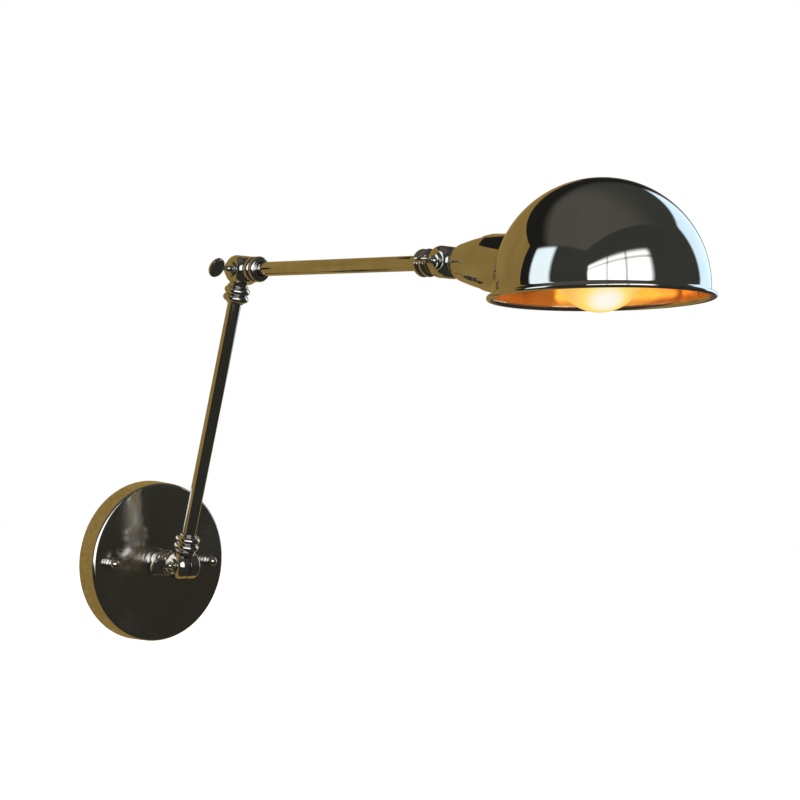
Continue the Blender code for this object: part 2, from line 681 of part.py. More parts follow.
def socket_cup(parent):
    """The bell-shaped cup, trimmed to the dome's outside."""
    outer = cup_profile()
    inner = [(CUP_SMALL_RADIUS - CUP_WALL, CUP_START + CUP_WALL)]
    inner += [(radius - CUP_WALL, reach + CUP_WALL) for radius, reach in outer[2:-1]]
    inner.append((CUP_BAND_RADIUS - CUP_WALL, CUP_END))
    outline = [(CUP_HOLE_RADIUS, CUP_START)] + outer + inner[::-1]
    outline.append((CUP_HOLE_RADIUS, CUP_START + CUP_WALL))
    mesh = turned("socket_cup", outline, CUP_STEPS, True)
    cup = add_object("socket_cup", mesh, chrome("socket_cup_finish"), parent, move())
    ball_outline = [(0.0, DOME_RADIUS + TOUCH_GAP)] + arc(0, 0, DOME_RADIUS + TOUCH_GAP, 80, -80, 20)
    ball_outline.append((0.0, -DOME_RADIUS - TOUCH_GAP))
    ball = add_object("cup_trim", turned("cup_trim", ball_outline, LARGE_STEPS), None, parent, dome_place())
    cut(cup, ball)


def cup_nut(parent):
    """Hexagon nut that clamps the cup to the knuckle's thread."""
    start = CUP_START + CUP_WALL + TOUCH_GAP
    hex_nut("cup_nut", CUP_NUT_ACROSS_FLATS, CUP_THREAD_RADIUS + TOUCH_GAP, start, parent, move())


def dome_shade(parent):
    """The spun dome with a short skirt and a lip that flares out to a round edge."""
    inner = DOME_RADIUS - DOME_WALL
    bottom = -DOME_SKIRT
    lip_centre = LIP_RADIUS - LIP_ROUND
    lip_height = bottom + LIP_ROUND
    outline = [(0.0, DOME_RADIUS)] + arc(0, 0, DOME_RADIUS, 80, 0, 9)
    flare_height = lip_height + LIP_ROUND * 0.7 + LIP_FLARE
    outline += arc(DOME_RADIUS + LIP_FLARE, flare_height, LIP_FLARE, 180, 250, 2)
    outline += arc(lip_centre, lip_height, LIP_ROUND, 60, -90, 4)
    outline += arc(lip_centre, bottom + (lip_centre - inner), lip_centre - inner, 270, 180, 3)[1:]
    outline += arc(0, 0, inner, 0, 80, 9) + [(0.0, inner)]
    mesh = turned("dome_shade", outline, LARGE_STEPS)
    shade = add_object("dome_shade", mesh, chrome("dome_shade_finish"), parent, dome_place())
    hole = rod("dome_hole", DOME_HOLE_RADIUS, CUP_BAND_REACH, DOME_OUT - DOME_RADIUS / 2, KNUCKLE_STEPS)
    cut(shade, add_object("dome_hole", hole, None, parent, move()))


def lamp_holder(parent):
    """Holder body, its screw shell and its centre contact."""
    bore = HOLDER_RADIUS - HOLDER_WALL
    floor = HOLDER_START + HOLDER_FLOOR
    outline = [
        (HOLDER_WIRE_RADIUS, HOLDER_BACK_START),
        (HOLDER_BACK_RADIUS, HOLDER_BACK_START),
        (HOLDER_BACK_RADIUS, HOLDER_START),
        (HOLDER_RADIUS, HOLDER_START),
        (HOLDER_RADIUS, HOLDER_END),
        (bore, HOLDER_END),
        (bore, floor),
        (HOLDER_WIRE_RADIUS, floor),
    ]
    mesh = turned("lamp_holder", outline, KNUCKLE_STEPS, True)
    add_object("lamp_holder", mesh, phenolic("lamp_holder_finish"), parent, move())
    start = floor + TOUCH_GAP
    inner = SHELL_RADIUS - SHELL_WALL
    turned_in = SHELL_RADIUS - 3 * SHELL_WALL
    shell = [(SHELL_RADIUS, SHELL_END), (SHELL_RADIUS, start), (turned_in, start)]
    shell += [(turned_in, start + SHELL_WALL), (inner, start + SHELL_WALL), (inner, SHELL_END)]
    mesh = turned("holder_shell", shell, KNUCKLE_STEPS, True)
    add_object("holder_shell", mesh, brass("holder_shell_finish"), parent, move())
    half = CONTACT_WIDTH / 2
    steps = [(-HOLDER_WIRE_RADIUS * 1.9, 0.0), (-half, 0.0), (half, CONTACT_RISE), (half * 1.6, CONTACT_RISE)]
    profile = [(y, z) for y, z in steps] + [(y, z + CONTACT_THICKNESS) for y, z in steps[::-1]]
    tongue = prism("holder_contact", profile, -half, half)
    lay = move(z=start) @ Matrix(((0, 0, 1, 0), (1, 0, 0, 0), (0, 1, 0, 0), (0, 0, 0, 1)))
    add_object("holder_contact", tongue, brass("holder_contact_finish"), parent, lay)


def bulb_outline(shrink):
    """Half outline of the bulb's glass from its crown to its open neck, drawn in by a shrink."""
    radius = BULB_RADIUS - shrink
    neck = BULB_NECK_RADIUS - shrink
    points = arc(0.0, BULB_CENTRE, radius, 76, -28, 7)
    from_radius, from_reach = points[-1]
    neck_start = CAP_START + CAP_LENGTH + TOUCH_GAP
    steps = 4
    for step in range(1, steps + 1):
        share = step / steps
        ease = share * share * (3 - 2 * share)
        reach = from_reach + (neck_start - from_reach) * share
        points.append((from_radius + (neck - from_radius) * ease, reach))
    return [(0.0, BULB_CENTRE + radius)] + points


def bulb(parent):
    """Glass, screw cap, tip contact and filament. The bulb stands on the cup's axis."""
    outline = bulb_outline(0.0) + bulb_outline(BULB_GLASS)[::-1]
    glass = turned("bulb_glass", outline, KNUCKLE_STEPS)
    add_object("bulb_glass", glass, frosted_glass("bulb_glass_finish"), parent, move())
    cap_end = CAP_START + CAP_LENGTH
    bore = CAP_RADIUS - CAP_WALL
    taper = CAP_LENGTH / 6
    cap = [
        (bore, cap_end),
        (CAP_RADIUS, cap_end),
        (CAP_RADIUS, CAP_START + taper),
        (TIP_RADIUS * 1.5, CAP_START),
        (TIP_RADIUS, CAP_START),
        (TIP_RADIUS, CAP_START + CAP_WALL * 2),
        (bore, CAP_START + taper + CAP_WALL),
    ]
    mesh = turned("bulb_cap", cap, KNUCKLE_STEPS, True)
    add_object("bulb_cap", mesh, brass("bulb_cap_finish"), parent, move())
    tip_start = CAP_START - TIP_HEIGHT
    tip = [(0.0, CAP_START + TIP_HEIGHT), (TIP_RADIUS - TOUCH_GAP, CAP_START + TIP_HEIGHT)]
    tip += [(TIP_RADIUS - TOUCH_GAP, CAP_START), (TIP_RADIUS * 0.6, tip_start), (0.0, tip_start)]
    mesh = turned("bulb_contact", tip, SMALL_STEPS)
    add_object("bulb_contact", mesh, brass("bulb_contact_finish"), parent, move())
    bar_place = move(x=-FILAMENT_HALF, z=FILAMENT_REACH) @ Matrix.Rotation(math.radians(90.0), 4, "Y")
    bar = rod("bulb_filament", FILAMENT_RADIUS, 0.0, 2 * FILAMENT_HALF, SMALL_STEPS)
    filament = add_object("bulb_filament", bar, tungsten("bulb_filament_finish"), parent, bar_place)
    leg_x = FILAMENT_HALF - 2 * FILAMENT_RADIUS
    for side in (-1, 1):
        name = f"filament_leg_{side}"
        leg = rod(name, FILAMENT_LEG_RADIUS, cap_end - taper, FILAMENT_REACH, SMALL_STEPS)
        join(filament, add_object(name, leg, None, parent, move(x=side * leg_x)))


def hinge_frame(name, parent, matrix):
    """An empty on a hinge axis, which carries everything beyond that hinge."""
    empty = bpy.data.objects.new(name, None)
    bpy.context.scene.collection.objects.link(empty)
    empty.parent = parent
    empty.matrix_local = matrix
    return empty


def build():
    """Model the whole sconce at rest."""
    clear_scene()
    canopy()
    mounting_bar()
    stud_and_cap_nut(-1, "left")
    stud_and_cap_nut(1, "right")
    earth_screw()
    terminal_block()
    stem_fixings()

    hinge_place = move(y=-(CANOPY_DEPTH + BASE_REACH))
    swivel = hinge_frame("base_swivel_frame", None, hinge_place)
    stem_end = BASE_REACH + BASE_THREAD_LENGTH
    knuckle_half("base_fixed_knuckle", base_stem_outline(), -1, swivel, turn_x(-90.0), through_bore(stem_end))
    knuckle_fittings("base", BASE_BLADE_TURN_DEG, swivel)

    lower = hinge_frame("lower_arm_frame", swivel, turn_x(LOWER_LEAN_DEG))
    knuckle_half("base_arm_knuckle", collar_outline(), 1, lower, move(), arm_bores())
    arm_tube("lower_tube", LOWER_ARM, lower)
    far_end = move(z=LOWER_ARM) @ turn_x(180.0)
    knuckle_half("elbow_lower_knuckle", collar_outline(), -1, lower, far_end, arm_bores())

    elbow_place = move(z=LOWER_ARM) @ turn_x(90.0 - LOWER_LEAN_DEG - UPPER_RISE_DEG)
    elbow_screw = hinge_frame("elbow_screw_frame", lower, elbow_place)
    knuckle_fittings("elbow", ELBOW_BLADE_TURN_DEG, elbow_screw)

    upper = hinge_frame("upper_arm_frame", lower, elbow_place)
    knuckle_half("elbow_upper_knuckle", collar_outline(), 1, upper, move(), arm_bores())
    arm_tube("upper_tube", UPPER_ARM, upper)
    far_end = move(z=UPPER_ARM) @ turn_x(180.0)
    knuckle_half("shade_arm_knuckle", collar_outline(), -1, upper, far_end, arm_bores())

    head_place = move(z=UPPER_ARM) @ turn_x(UPPER_RISE_DEG + CUP_DROOP_DEG)
    shade_screw = hinge_frame("shade_screw_frame", upper, head_place)
    knuckle_fittings("shade", SHADE_BLADE_TURN_DEG, shade_screw)

    head = hinge_frame("head_frame", upper, head_place)
    cup_stem_end = CUP_START + CUP_THREAD_LENGTH
    knuckle_half("shade_cup_knuckle", cup_stem_outline(), 1, head, move(), through_bore(cup_stem_end))
    socket_cup(head)
    cup_nut(head)
    dome_shade(head)
    lamp_holder(head)
    bulb(head)


build()
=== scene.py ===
"""Looks of the swing arm wall sconce: its plated pieces, their finishes, the lit bulb and the studio."""

import json
import logging
import math
from dataclasses import dataclass
from enum import Enum

import bmesh
import bpy
from mathutils import Matrix, Vector


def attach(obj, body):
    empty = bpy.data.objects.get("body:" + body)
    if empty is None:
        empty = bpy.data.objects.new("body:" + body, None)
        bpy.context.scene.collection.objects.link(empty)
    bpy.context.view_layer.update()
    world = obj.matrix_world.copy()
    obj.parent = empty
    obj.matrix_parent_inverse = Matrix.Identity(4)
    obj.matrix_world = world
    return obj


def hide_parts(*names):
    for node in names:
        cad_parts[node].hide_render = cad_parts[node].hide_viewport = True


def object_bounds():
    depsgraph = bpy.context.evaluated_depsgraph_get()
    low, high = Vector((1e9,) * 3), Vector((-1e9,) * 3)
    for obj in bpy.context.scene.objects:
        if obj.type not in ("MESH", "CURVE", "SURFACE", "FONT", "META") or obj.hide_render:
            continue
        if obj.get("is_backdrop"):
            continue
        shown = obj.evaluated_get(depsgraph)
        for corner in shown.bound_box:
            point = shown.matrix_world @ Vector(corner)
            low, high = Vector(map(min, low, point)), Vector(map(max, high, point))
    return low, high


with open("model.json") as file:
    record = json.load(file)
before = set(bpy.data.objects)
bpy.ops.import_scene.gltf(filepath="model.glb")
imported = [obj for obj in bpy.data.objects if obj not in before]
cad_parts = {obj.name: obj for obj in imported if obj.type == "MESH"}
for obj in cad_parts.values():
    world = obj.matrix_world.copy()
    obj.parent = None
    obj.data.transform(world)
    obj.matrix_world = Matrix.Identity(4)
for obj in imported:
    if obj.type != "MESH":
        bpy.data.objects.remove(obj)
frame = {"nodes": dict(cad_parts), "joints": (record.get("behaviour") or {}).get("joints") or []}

LOG = logging.getLogger("sconce")
MM = 0.001
TOUCH_GAP = 0.3 * MM
SMOOTH_ANGLE = math.radians(31.0)

Point = tuple[float, float]
Tone = tuple[float, float, float]


class Ear(Enum):
    """Which side of a knuckle a half's ear stands on."""

    DOMED = -1
    PLAIN = 1


class Carve(Enum):
    """How a helper shape changes a piece."""

    CUT = "DIFFERENCE"
    JOIN = "UNION"


# ---------------------------------------------------------------- shape tools
@dataclass(frozen=True)
class Corner:
    """One corner of a profile, and the round worked on it."""

    radius: float
    height: float
    bend: float = 0.0


def rounded(corners: list[Corner], closed: bool = False, steps: int = 6) -> list[Point]:
    """Turn the corners of a profile into points, with an arc at each rounded corner.

    Args:
        corners: The profile's corners in order.
        closed: Whether the last corner runs on to the first.
        steps: Facets of each arc.

    Returns:
        The profile's points as (radius, height).
    """
    points: list[Point] = []
    count = len(corners)
    for index, corner in enumerate(corners):
        here = Vector((corner.radius, corner.height))
        is_end = not closed and index in (0, count - 1)
        if corner.bend <= 0.0 or is_end:
            points.append((here.x, here.y))
            continue
        before_corner = corners[index - 1]
        after_corner = corners[(index + 1) % count]
        before = Vector((before_corner.radius, before_corner.height)) - here
        after = Vector((after_corner.radius, after_corner.height)) - here
        half = before.angle(after) / 2
        reach = min(corner.bend / math.tan(half), 0.48 * before.length, 0.48 * after.length)
        bend = reach * math.tan(half)
        middle = (before.normalized() + after.normalized()).normalized()
        centre = here + middle * (bend / math.sin(half))
        start = here + before.normalized() * reach - centre
        sweep = (here + after.normalized() * reach - centre).angle_signed(start)
        first = math.atan2(start.y, start.x)
        for step in range(steps + 1):
            angle = first + sweep * step / steps
            points.append((centre.x + bend * math.cos(angle), centre.y + bend * math.sin(angle)))
    return points


def arc(radius: float, height: float, bend: float, start: float, end: float, steps: int) -> list[Point]:
    """Points on a circle about (radius, height), from one angle in degrees to another."""
    points: list[Point] = []
    for step in range(steps + 1):
        angle = math.radians(start + (end - start) * step / steps)
        points.append((radius + bend * math.cos(angle), height + bend * math.sin(angle)))
    return points


def flowing(points: list[Point], steps: int) -> list[Point]:
    """A smooth curve through points, by Catmull and Rom's rule.

    Args:
        points: The points that the curve passes through.
        steps: Facets between two points.

    Returns:
        The curve's points.
    """
    line = [Vector(point) for point in points]
    line = [2 * line[0] - line[1]] + line + [2 * line[-1] - line[-2]]
    curve: list[Point] = []
    for a, b, c, d in zip(line, line[1:], line[2:], line[3:]):
        for step in range(steps):
            t = step / steps
            square = (2 * a - 5 * b + 4 * c - d) * t**2
            cube = (3 * b - a - 3 * c + d) * t**3
            spot = 0.5 * (2 * b + (c - a) * t + square + cube)
            curve.append((spot.x, spot.y))
    curve.append(points[-1])
    return curve


def finished(name: str, bm: bmesh.types.BMesh, turn_out: bool = True) -> bpy.types.Mesh:
    """Turn a bmesh into a mesh that is smooth except at its sharp edges."""
    bmesh.ops.remove_doubles(bm, verts=bm.verts, dist=1e-6)
    if turn_out:
        bmesh.ops.recalc_face_normals(bm, faces=bm.faces)
    mesh = bpy.data.meshes.new(name)
    bm.to_mesh(mesh)
    bm.free()
    mesh.shade_smooth()
    mesh.set_sharp_from_angle(angle=SMOOTH_ANGLE)
    return mesh


def turned(name: str, profile: list[Point], steps: int = 96, closed: bool = False) -> bpy.types.Mesh:
    """Spin a profile about local Z. An open profile starts and ends on the axis.

    Args:
        name: The mesh's name.
        profile: Points as (radius, height).
        steps: Facets around the axis.
        closed: Whether the profile is a loop clear of the axis.

    Returns:
        The turned mesh, with its faces out.
    """
    bm = bmesh.new()
    verts = [bm.verts.new((radius, 0.0, height)) for radius, height in profile]
    pairs = list(zip(verts, verts[1:]))
    if closed:
        pairs.append((verts[-1], verts[0]))
    edges = [bm.edges.new(pair) for pair in pairs]
    bmesh.ops.spin(
        bm, geom=verts + edges, cent=(0, 0, 0), axis=(0, 0, 1), dvec=(0, 0, 0),
        angle=math.tau, steps=steps, use_merge=True, use_duplicate=False,
    )
    return finished(name, bm)


def rod(name: str, radius: float, start: float, end: float, steps: int = 48) -> bpy.types.Mesh:
    """A plain round bar along local Z, used as a cutter."""
    return turned(name, [(0.0, end), (radius, end), (radius, start), (0.0, start)], steps)


def placed(mesh: bpy.types.Mesh, place: Matrix) -> bpy.types.Mesh:
    """Move a mesh's own points, so that its object stays at the origin."""
    mesh.transform(place)
    return mesh


def piece(name: str, mesh: bpy.types.Mesh, *finishes: bpy.types.Material) -> bpy.types.Object:
    """Link a mesh as a new piece with its finishes."""
    obj = bpy.data.objects.new(name, mesh)
    bpy.context.scene.collection.objects.link(obj)
    mesh.materials.clear()
    for finish in finishes:
        mesh.materials.append(finish)
    return obj


def belong(obj: bpy.types.Object, body: str) -> None:
    """Let a piece ride on a body."""
    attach(obj, body)


def stand_for(obj: bpy.types.Object, node: str, body: str) -> None:
    """Let a piece take the place of a node on its body."""
    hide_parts(node)
    belong(obj, body)


def hide_from(obj: bpy.types.Object, *rays: str) -> None:
    """Hide a staged object from some kinds of ray."""
    for ray in rays:
        setattr(obj, f"visible_{ray}", False)


def carve(target: bpy.types.Object, tool: bpy.types.Mesh, way: Carve) -> None:
    """Cut a helper shape from a piece or join it on, and keep the result as the piece's mesh."""
    for finish in target.data.materials:
        tool.materials.append(finish)
    helper = bpy.data.objects.new(f"{target.name}_tool", tool)
    bpy.context.scene.collection.objects.link(helper)
    modifier = target.modifiers.new(way.value, "BOOLEAN")
    modifier.object = helper
    modifier.operation = way.value
    modifier.solver = "EXACT"
    target.data = evaluated_mesh(target)
    target.modifiers.clear()
    bpy.data.objects.remove(helper)
    target.data.shade_smooth()
    target.data.set_sharp_from_angle(angle=SMOOTH_ANGLE)


def evaluated_mesh(obj: bpy.types.Object) -> bpy.types.Mesh:
    """The mesh that an object's modifiers make, as plain data."""
    bpy.context.view_layer.update()
    graph = bpy.context.evaluated_depsgraph_get()
    return bpy.data.meshes.new_from_object(obj.evaluated_get(graph))


def turn_x(degrees: float) -> Matrix:
    """A turn about X."""
    return Matrix.Rotation(math.radians(degrees), 4, "X")


def move(x: float = 0.0, y: float = 0.0, z: float = 0.0) -> Matrix:
    """A shift."""
    return Matrix.Translation((x, y, z))


def aimed(origin: Vector, towards: Vector) -> Matrix:
    """Local Z from a point towards another in the plane of the arms, with local X kept."""
    way = towards - origin
    return Matrix.Translation(origin) @ Matrix.Rotation(math.atan2(-way.y, way.z), 4, "X")


TO_THUMB = Matrix.Rotation(math.radians(-90.0), 4, "Y")
OUT_OF_WALL = turn_x(90.0)


def joint_point(name: str) -> Vector:
    """Where a joint's axis passes, in the frame."""
    for joint in frame["joints"]:
        if joint["name"] == name:
            return Vector(joint["pos_m"])
    raise KeyError(name)


# ---------------------------------------------------------------- node tools
class Graph:
    """Adds and joins the nodes of one tree."""

    def __init__(self, tree: bpy.types.NodeTree) -> None:
        """Keep the tree."""
        self.tree = tree

    def node(self, kind: str, **settings: object) -> bpy.types.Node:
        """Add a node with some of its settings."""
        made = self.tree.nodes.new(kind)
        for key, value in settings.items():
            setattr(made, key, value)
        return made

    def feed(self, socket: bpy.types.NodeSocket, value: object) -> None:
        """Join another socket to this one, or set its own value."""
        if isinstance(value, bpy.types.NodeSocket):
            self.tree.links.new(value, socket)
        elif value is not None:
            socket.default_value = value

    def math(self, operation: str, first: object, second: object = None) -> bpy.types.NodeSocket:
        """One step of arithmetic."""
        made = self.node("ShaderNodeMath", operation=operation)
        self.feed(made.inputs[0], first)
        self.feed(made.inputs[1], second)
        return made.outputs[0]

    def rise(
        self, value: object, low: float, high: float, start: float = 0.0, end: float = 1.0
    ) -> bpy.types.NodeSocket:
        """A smooth step of a value from one number to another."""
        made = self.node("ShaderNodeMapRange", interpolation_type="SMOOTHSTEP")
        for socket, number in zip(made.inputs, (value, low, high, start, end)):
            self.feed(socket, number)
        return made.outputs[0]

    def blend(self, factor: object, first: object, second: object) -> bpy.types.NodeSocket:
        """Mix two colours."""
        made = self.node("ShaderNodeMix", data_type="RGBA")
        self.feed(made.inputs["Factor"], factor)
        self.feed(made.inputs[6], first)
        self.feed(made.inputs[7], second)
        return made.outputs[2]

    def noise(self, where: object, scale: float, detail: float = 3.0) -> bpy.types.NodeSocket:
        """Soft noise over a place, from 0 to 1."""
        made = self.node("ShaderNodeTexNoise")
        self.feed(made.inputs["Vector"], where)
        made.inputs["Scale"].default_value = scale
        made.inputs["Detail"].default_value = detail
        return made.outputs[0]

    def stretched(self, where: object, scale: Tone, turn: Tone = (0.0, 0.0, 0.0)) -> bpy.types.NodeSocket:
        """Coordinates scaled along each axis, for grain that runs one way."""
        made = self.node("ShaderNodeMapping")
        self.feed(made.inputs["Vector"], where)
        made.inputs["Rotation"].default_value = turn
        made.inputs["Scale"].default_value = scale
        return made.outputs[0]


def colour(tone: Tone) -> tuple[float, float, float, float]:
    """A tone with full alpha."""
    return (*tone, 1.0)


# ---------------------------------------------------------------- finishes
@dataclass(frozen=True)
class Finish:
    """A surface finish. Sub-classes lay its pattern on the shader."""

    name: str
    tone: Tone
    second_tone: Tone
    metallic: float = 1.0
    roughness: float = 0.3

    def build(self) -> bpy.types.Material:
        """Make the material.

        Returns:
            The finished material.
        """
        material = bpy.data.materials.new(self.name)
        material.use_nodes = True
        graph = Graph(material.node_tree)
        shader = material.node_tree.nodes["Principled BSDF"]
        shader.inputs["Metallic"].default_value = self.metallic
        shader.inputs["Roughness"].default_value = self.roughness
        where = graph.node("ShaderNodeTexCoord").outputs["Object"]
        self.lay(graph, shader, where)
        material.diffuse_color = colour(self.tone)
        return material

    def lay(self, graph: Graph, shader: bpy.types.Node, where: bpy.types.NodeSocket) -> None:
        """Lay the pattern on the shader."""
        raise NotImplementedError

    def paint(self, graph: Graph, shader: bpy.types.Node, share: object) -> None:
        """Mix the finish's two tones."""
        mixed = graph.blend(share, colour(self.tone), colour(self.second_tone))
        graph.feed(shader.inputs["Base Color"], mixed)

    def bump(
        self, graph: Graph, shader: bpy.types.Node, height: object, depth: float, strength: float
    ) -> None:
        """Raise the surface by a height pattern."""
        made = graph.node("ShaderNodeBump")
        made.inputs["Strength"].default_value = strength
        made.inputs["Distance"].default_value = depth
        graph.feed(made.inputs["Height"], height)
        graph.feed(shader.inputs["Normal"], made.outputs["Normal"])


@dataclass(frozen=True)
class PolishedPlate(Finish):
    """Mirror plating with soft wipe marks and a trace of buffing waviness."""

    wipe_scale: float = 26.0
    buff_scale: float = 240.0

    def lay(self, graph: Graph, shader: bpy.types.Node, where: bpy.types.NodeSocket) -> None:
        """Vary the mirror's tone and gloss with wipe marks."""
        wipes = graph.noise(graph.stretched(where, (1.0, 1.6, 0.8)), self.wipe_scale, 4.0)
        buffing = graph.noise(graph.stretched(where, (1.0, 1.0, 3.0)), self.buff_scale, 2.0)
        share = graph.rise(wipes, 0.38, 0.66)
        self.paint(graph, shader, share)
        gloss = graph.rise(wipes, 0.35, 0.7, self.roughness * 0.6, self.roughness * 1.5)
        fine = graph.rise(buffing, 0.3, 0.7, 0.0, self.roughness * 0.4)
        graph.feed(shader.inputs["Roughness"], graph.math("ADD", gloss, fine))
        self.bump(graph, shader, buffing, 0.004 * MM, 0.15)


@dataclass(frozen=True)
class SpunInside(Finish):
    """The shade's inner face: satin metal with fine rings left by spinning, in warm tones that are painted
    glow of the bulb's orange light on it.
    """

    ring_spacing: float = 1400.0

    def lay(self, graph: Graph, shader: bpy.types.Node, where: bpy.types.NodeSocket) -> None:
        """Lay fine rings and a mottled satin tone in the warm tints of the painted glow."""
        mottle = graph.noise(where, 42.0, 3.0)
        self.paint(graph, shader, graph.rise(mottle, 0.35, 0.65))
        rings = graph.node("ShaderNodeTexWave", wave_type="BANDS", bands_direction="Z")
        graph.feed(rings.inputs["Vector"], where)
        rings.inputs["Scale"].default_value = self.ring_spacing
        rings.inputs["Distortion"].default_value = 1.5
        gloss = graph.rise(mottle, 0.3, 0.7, self.roughness * 0.8, self.roughness * 1.3)
        graph.feed(shader.inputs["Roughness"], gloss)
        self.bump(graph, shader, rings.outputs["Fac"], 0.006 * MM, 0.2)


@dataclass(frozen=True)
class BrushedZinc(Finish):
    """Zinc-plated steel with drawn grain and a faint spangle."""

    def lay(self, graph: Graph, shader: bpy.types.Node, where: bpy.types.NodeSocket) -> None:
        """Lay grain along X and a spangle of tone."""
        grain = graph.noise(graph.stretched(where, (60.0, 1400.0, 1400.0)), 1.0, 3.0)
        spangle = graph.noise(where, 320.0, 2.0)
        self.paint(graph, shader, graph.rise(spangle, 0.4, 0.62))
        gloss = graph.rise(grain, 0.3, 0.7, self.roughness * 0.75, self.roughness * 1.4)
        graph.feed(shader.inputs["Roughness"], gloss)
        self.bump(graph, shader, grain, 0.02 * MM, 0.3)


@dataclass(frozen=True)
class TurnedBrass(Finish):
    """Plain brass with a light tarnish in patches."""

    def lay(self, graph: Graph, shader: bpy.types.Node, where: bpy.types.NodeSocket) -> None:
        """Mix bright brass with tarnish."""
        tarnish = graph.noise(where, 130.0, 5.0)
        share = graph.rise(tarnish, 0.45, 0.7)
        self.paint(graph, shader, share)
        gloss = graph.rise(tarnish, 0.4, 0.7, self.roughness * 0.8, self.roughness * 1.6)
        graph.feed(shader.inputs["Roughness"], gloss)
        self.bump(graph, shader, tarnish, 0.01 * MM, 0.3)


@dataclass(frozen=True)
class MouldedBody(Finish):
    """Moulded or pressed insulating material with a fine speckle."""

    speckle_scale: float = 900.0

    def lay(self, graph: Graph, shader: bpy.types.Node, where: bpy.types.NodeSocket) -> None:
        """Lay a speckle and a soft mould texture."""
        speckle = graph.noise(where, self.speckle_scale, 2.0)
        cloud = graph.noise(where, self.speckle_scale / 12, 3.0)
        share = graph.math("MULTIPLY", graph.rise(speckle, 0.5, 0.66), graph.rise(cloud, 0.3, 0.7))
        self.paint(graph, shader, share)
        self.bump(graph, shader, speckle, 0.03 * MM, 0.3)


@dataclass(frozen=True)
class GlowingGlass(Finish):
    """Frosted bulb glass lit from inside, strongest within the shade, with a painted highlight at one spot
    that fades to a painted darker amber edge round it.
    """

    painted_highlight_tone: Tone = (1.0, 0.97, 0.86)
    painted_falloff_tone: Tone = (1.0, 0.80, 0.20)
    painted_hot_spot: Tone = (0.0, 0.0, 0.0)
    inner_tone: Tone = (1.0, 0.40, 0.06)
    painted_highlight_reach: float = 6.0 * MM
    painted_falloff_reach: float = 14.0 * MM
    painted_edge_reach: float = 22.0 * MM
    glow: float = 0.95
    inner_glow: float = 3.2
    inner_height: float = 0.1975
    inner_fade: float = 6.0 * MM

    def lay(self, graph: Graph, shader: bpy.types.Node, where: bpy.types.NodeSocket) -> None:
        """Paint a highlight at one spot and let the glow's tone fall off from it to a painted darker amber
        edge.
        """
        frost = graph.noise(where, 700.0, 2.0)
        gap = graph.node("ShaderNodeVectorMath", operation="DISTANCE")
        graph.feed(gap.inputs[0], where)
        gap.inputs[1].default_value = self.painted_hot_spot
        # near and far step from the painted highlight's tone to amber, then to the painted darker edge.
        near = graph.rise(gap.outputs["Value"], self.painted_highlight_reach, self.painted_falloff_reach)
        far = graph.rise(gap.outputs["Value"], 0.7 * self.painted_falloff_reach, self.painted_edge_reach)
        tone = graph.blend(near, colour(self.painted_highlight_tone), colour(self.painted_falloff_tone))
        tone = graph.blend(far, tone, graph.blend(frost, colour(self.tone), colour(self.second_tone)))
        split = graph.node("ShaderNodeSeparateXYZ")
        graph.feed(split.inputs[0], where)
        within = graph.rise(split.outputs["Z"], self.inner_height, self.inner_height + self.inner_fade)
        tone = graph.blend(within, tone, colour(self.inner_tone))
        strength = graph.math("ADD", graph.math("MULTIPLY", within, self.inner_glow - self.glow), self.glow)
        base = tuple(0.2 * part for part in self.tone)
        second = tuple(0.3 * part for part in self.second_tone)
        graph.feed(shader.inputs["Base Color"], graph.blend(frost, colour(base), colour(second)))
        graph.feed(shader.inputs["Emission Color"], tone)
        graph.feed(shader.inputs["Emission Strength"], strength)
        self.bump(graph, shader, frost, 0.01 * MM, 0.2)


@dataclass(frozen=True)
class HotWire(Finish):
    """Glowing tungsten wire."""

    glow: float = 3.0

    def lay(self, graph: Graph, shader: bpy.types.Node, where: bpy.types.NodeSocket) -> None:
        """Vary the glow a little along the wire."""
        flicker = graph.noise(where, 500.0, 2.0)
        self.paint(graph, shader, flicker)
        mixed = graph.blend(flicker, colour(self.tone), colour(self.second_tone))
        graph.feed(shader.inputs["Emission Color"], mixed)
        shader.inputs["Emission Strength"].default_value = self.glow


@dataclass(frozen=True)
class Finishes:
    """Every finish of the sconce, made once."""

    plate: bpy.types.Material
    plate_arm: bpy.types.Material
    plate_cover: bpy.types.Material
    inside: bpy.types.Material
    zinc: bpy.types.Material
    brass: bpy.types.Material
    phenolic: bpy.types.Material
    fibre: bpy.types.Material
    glass: bpy.types.Material
    wire: bpy.types.Material


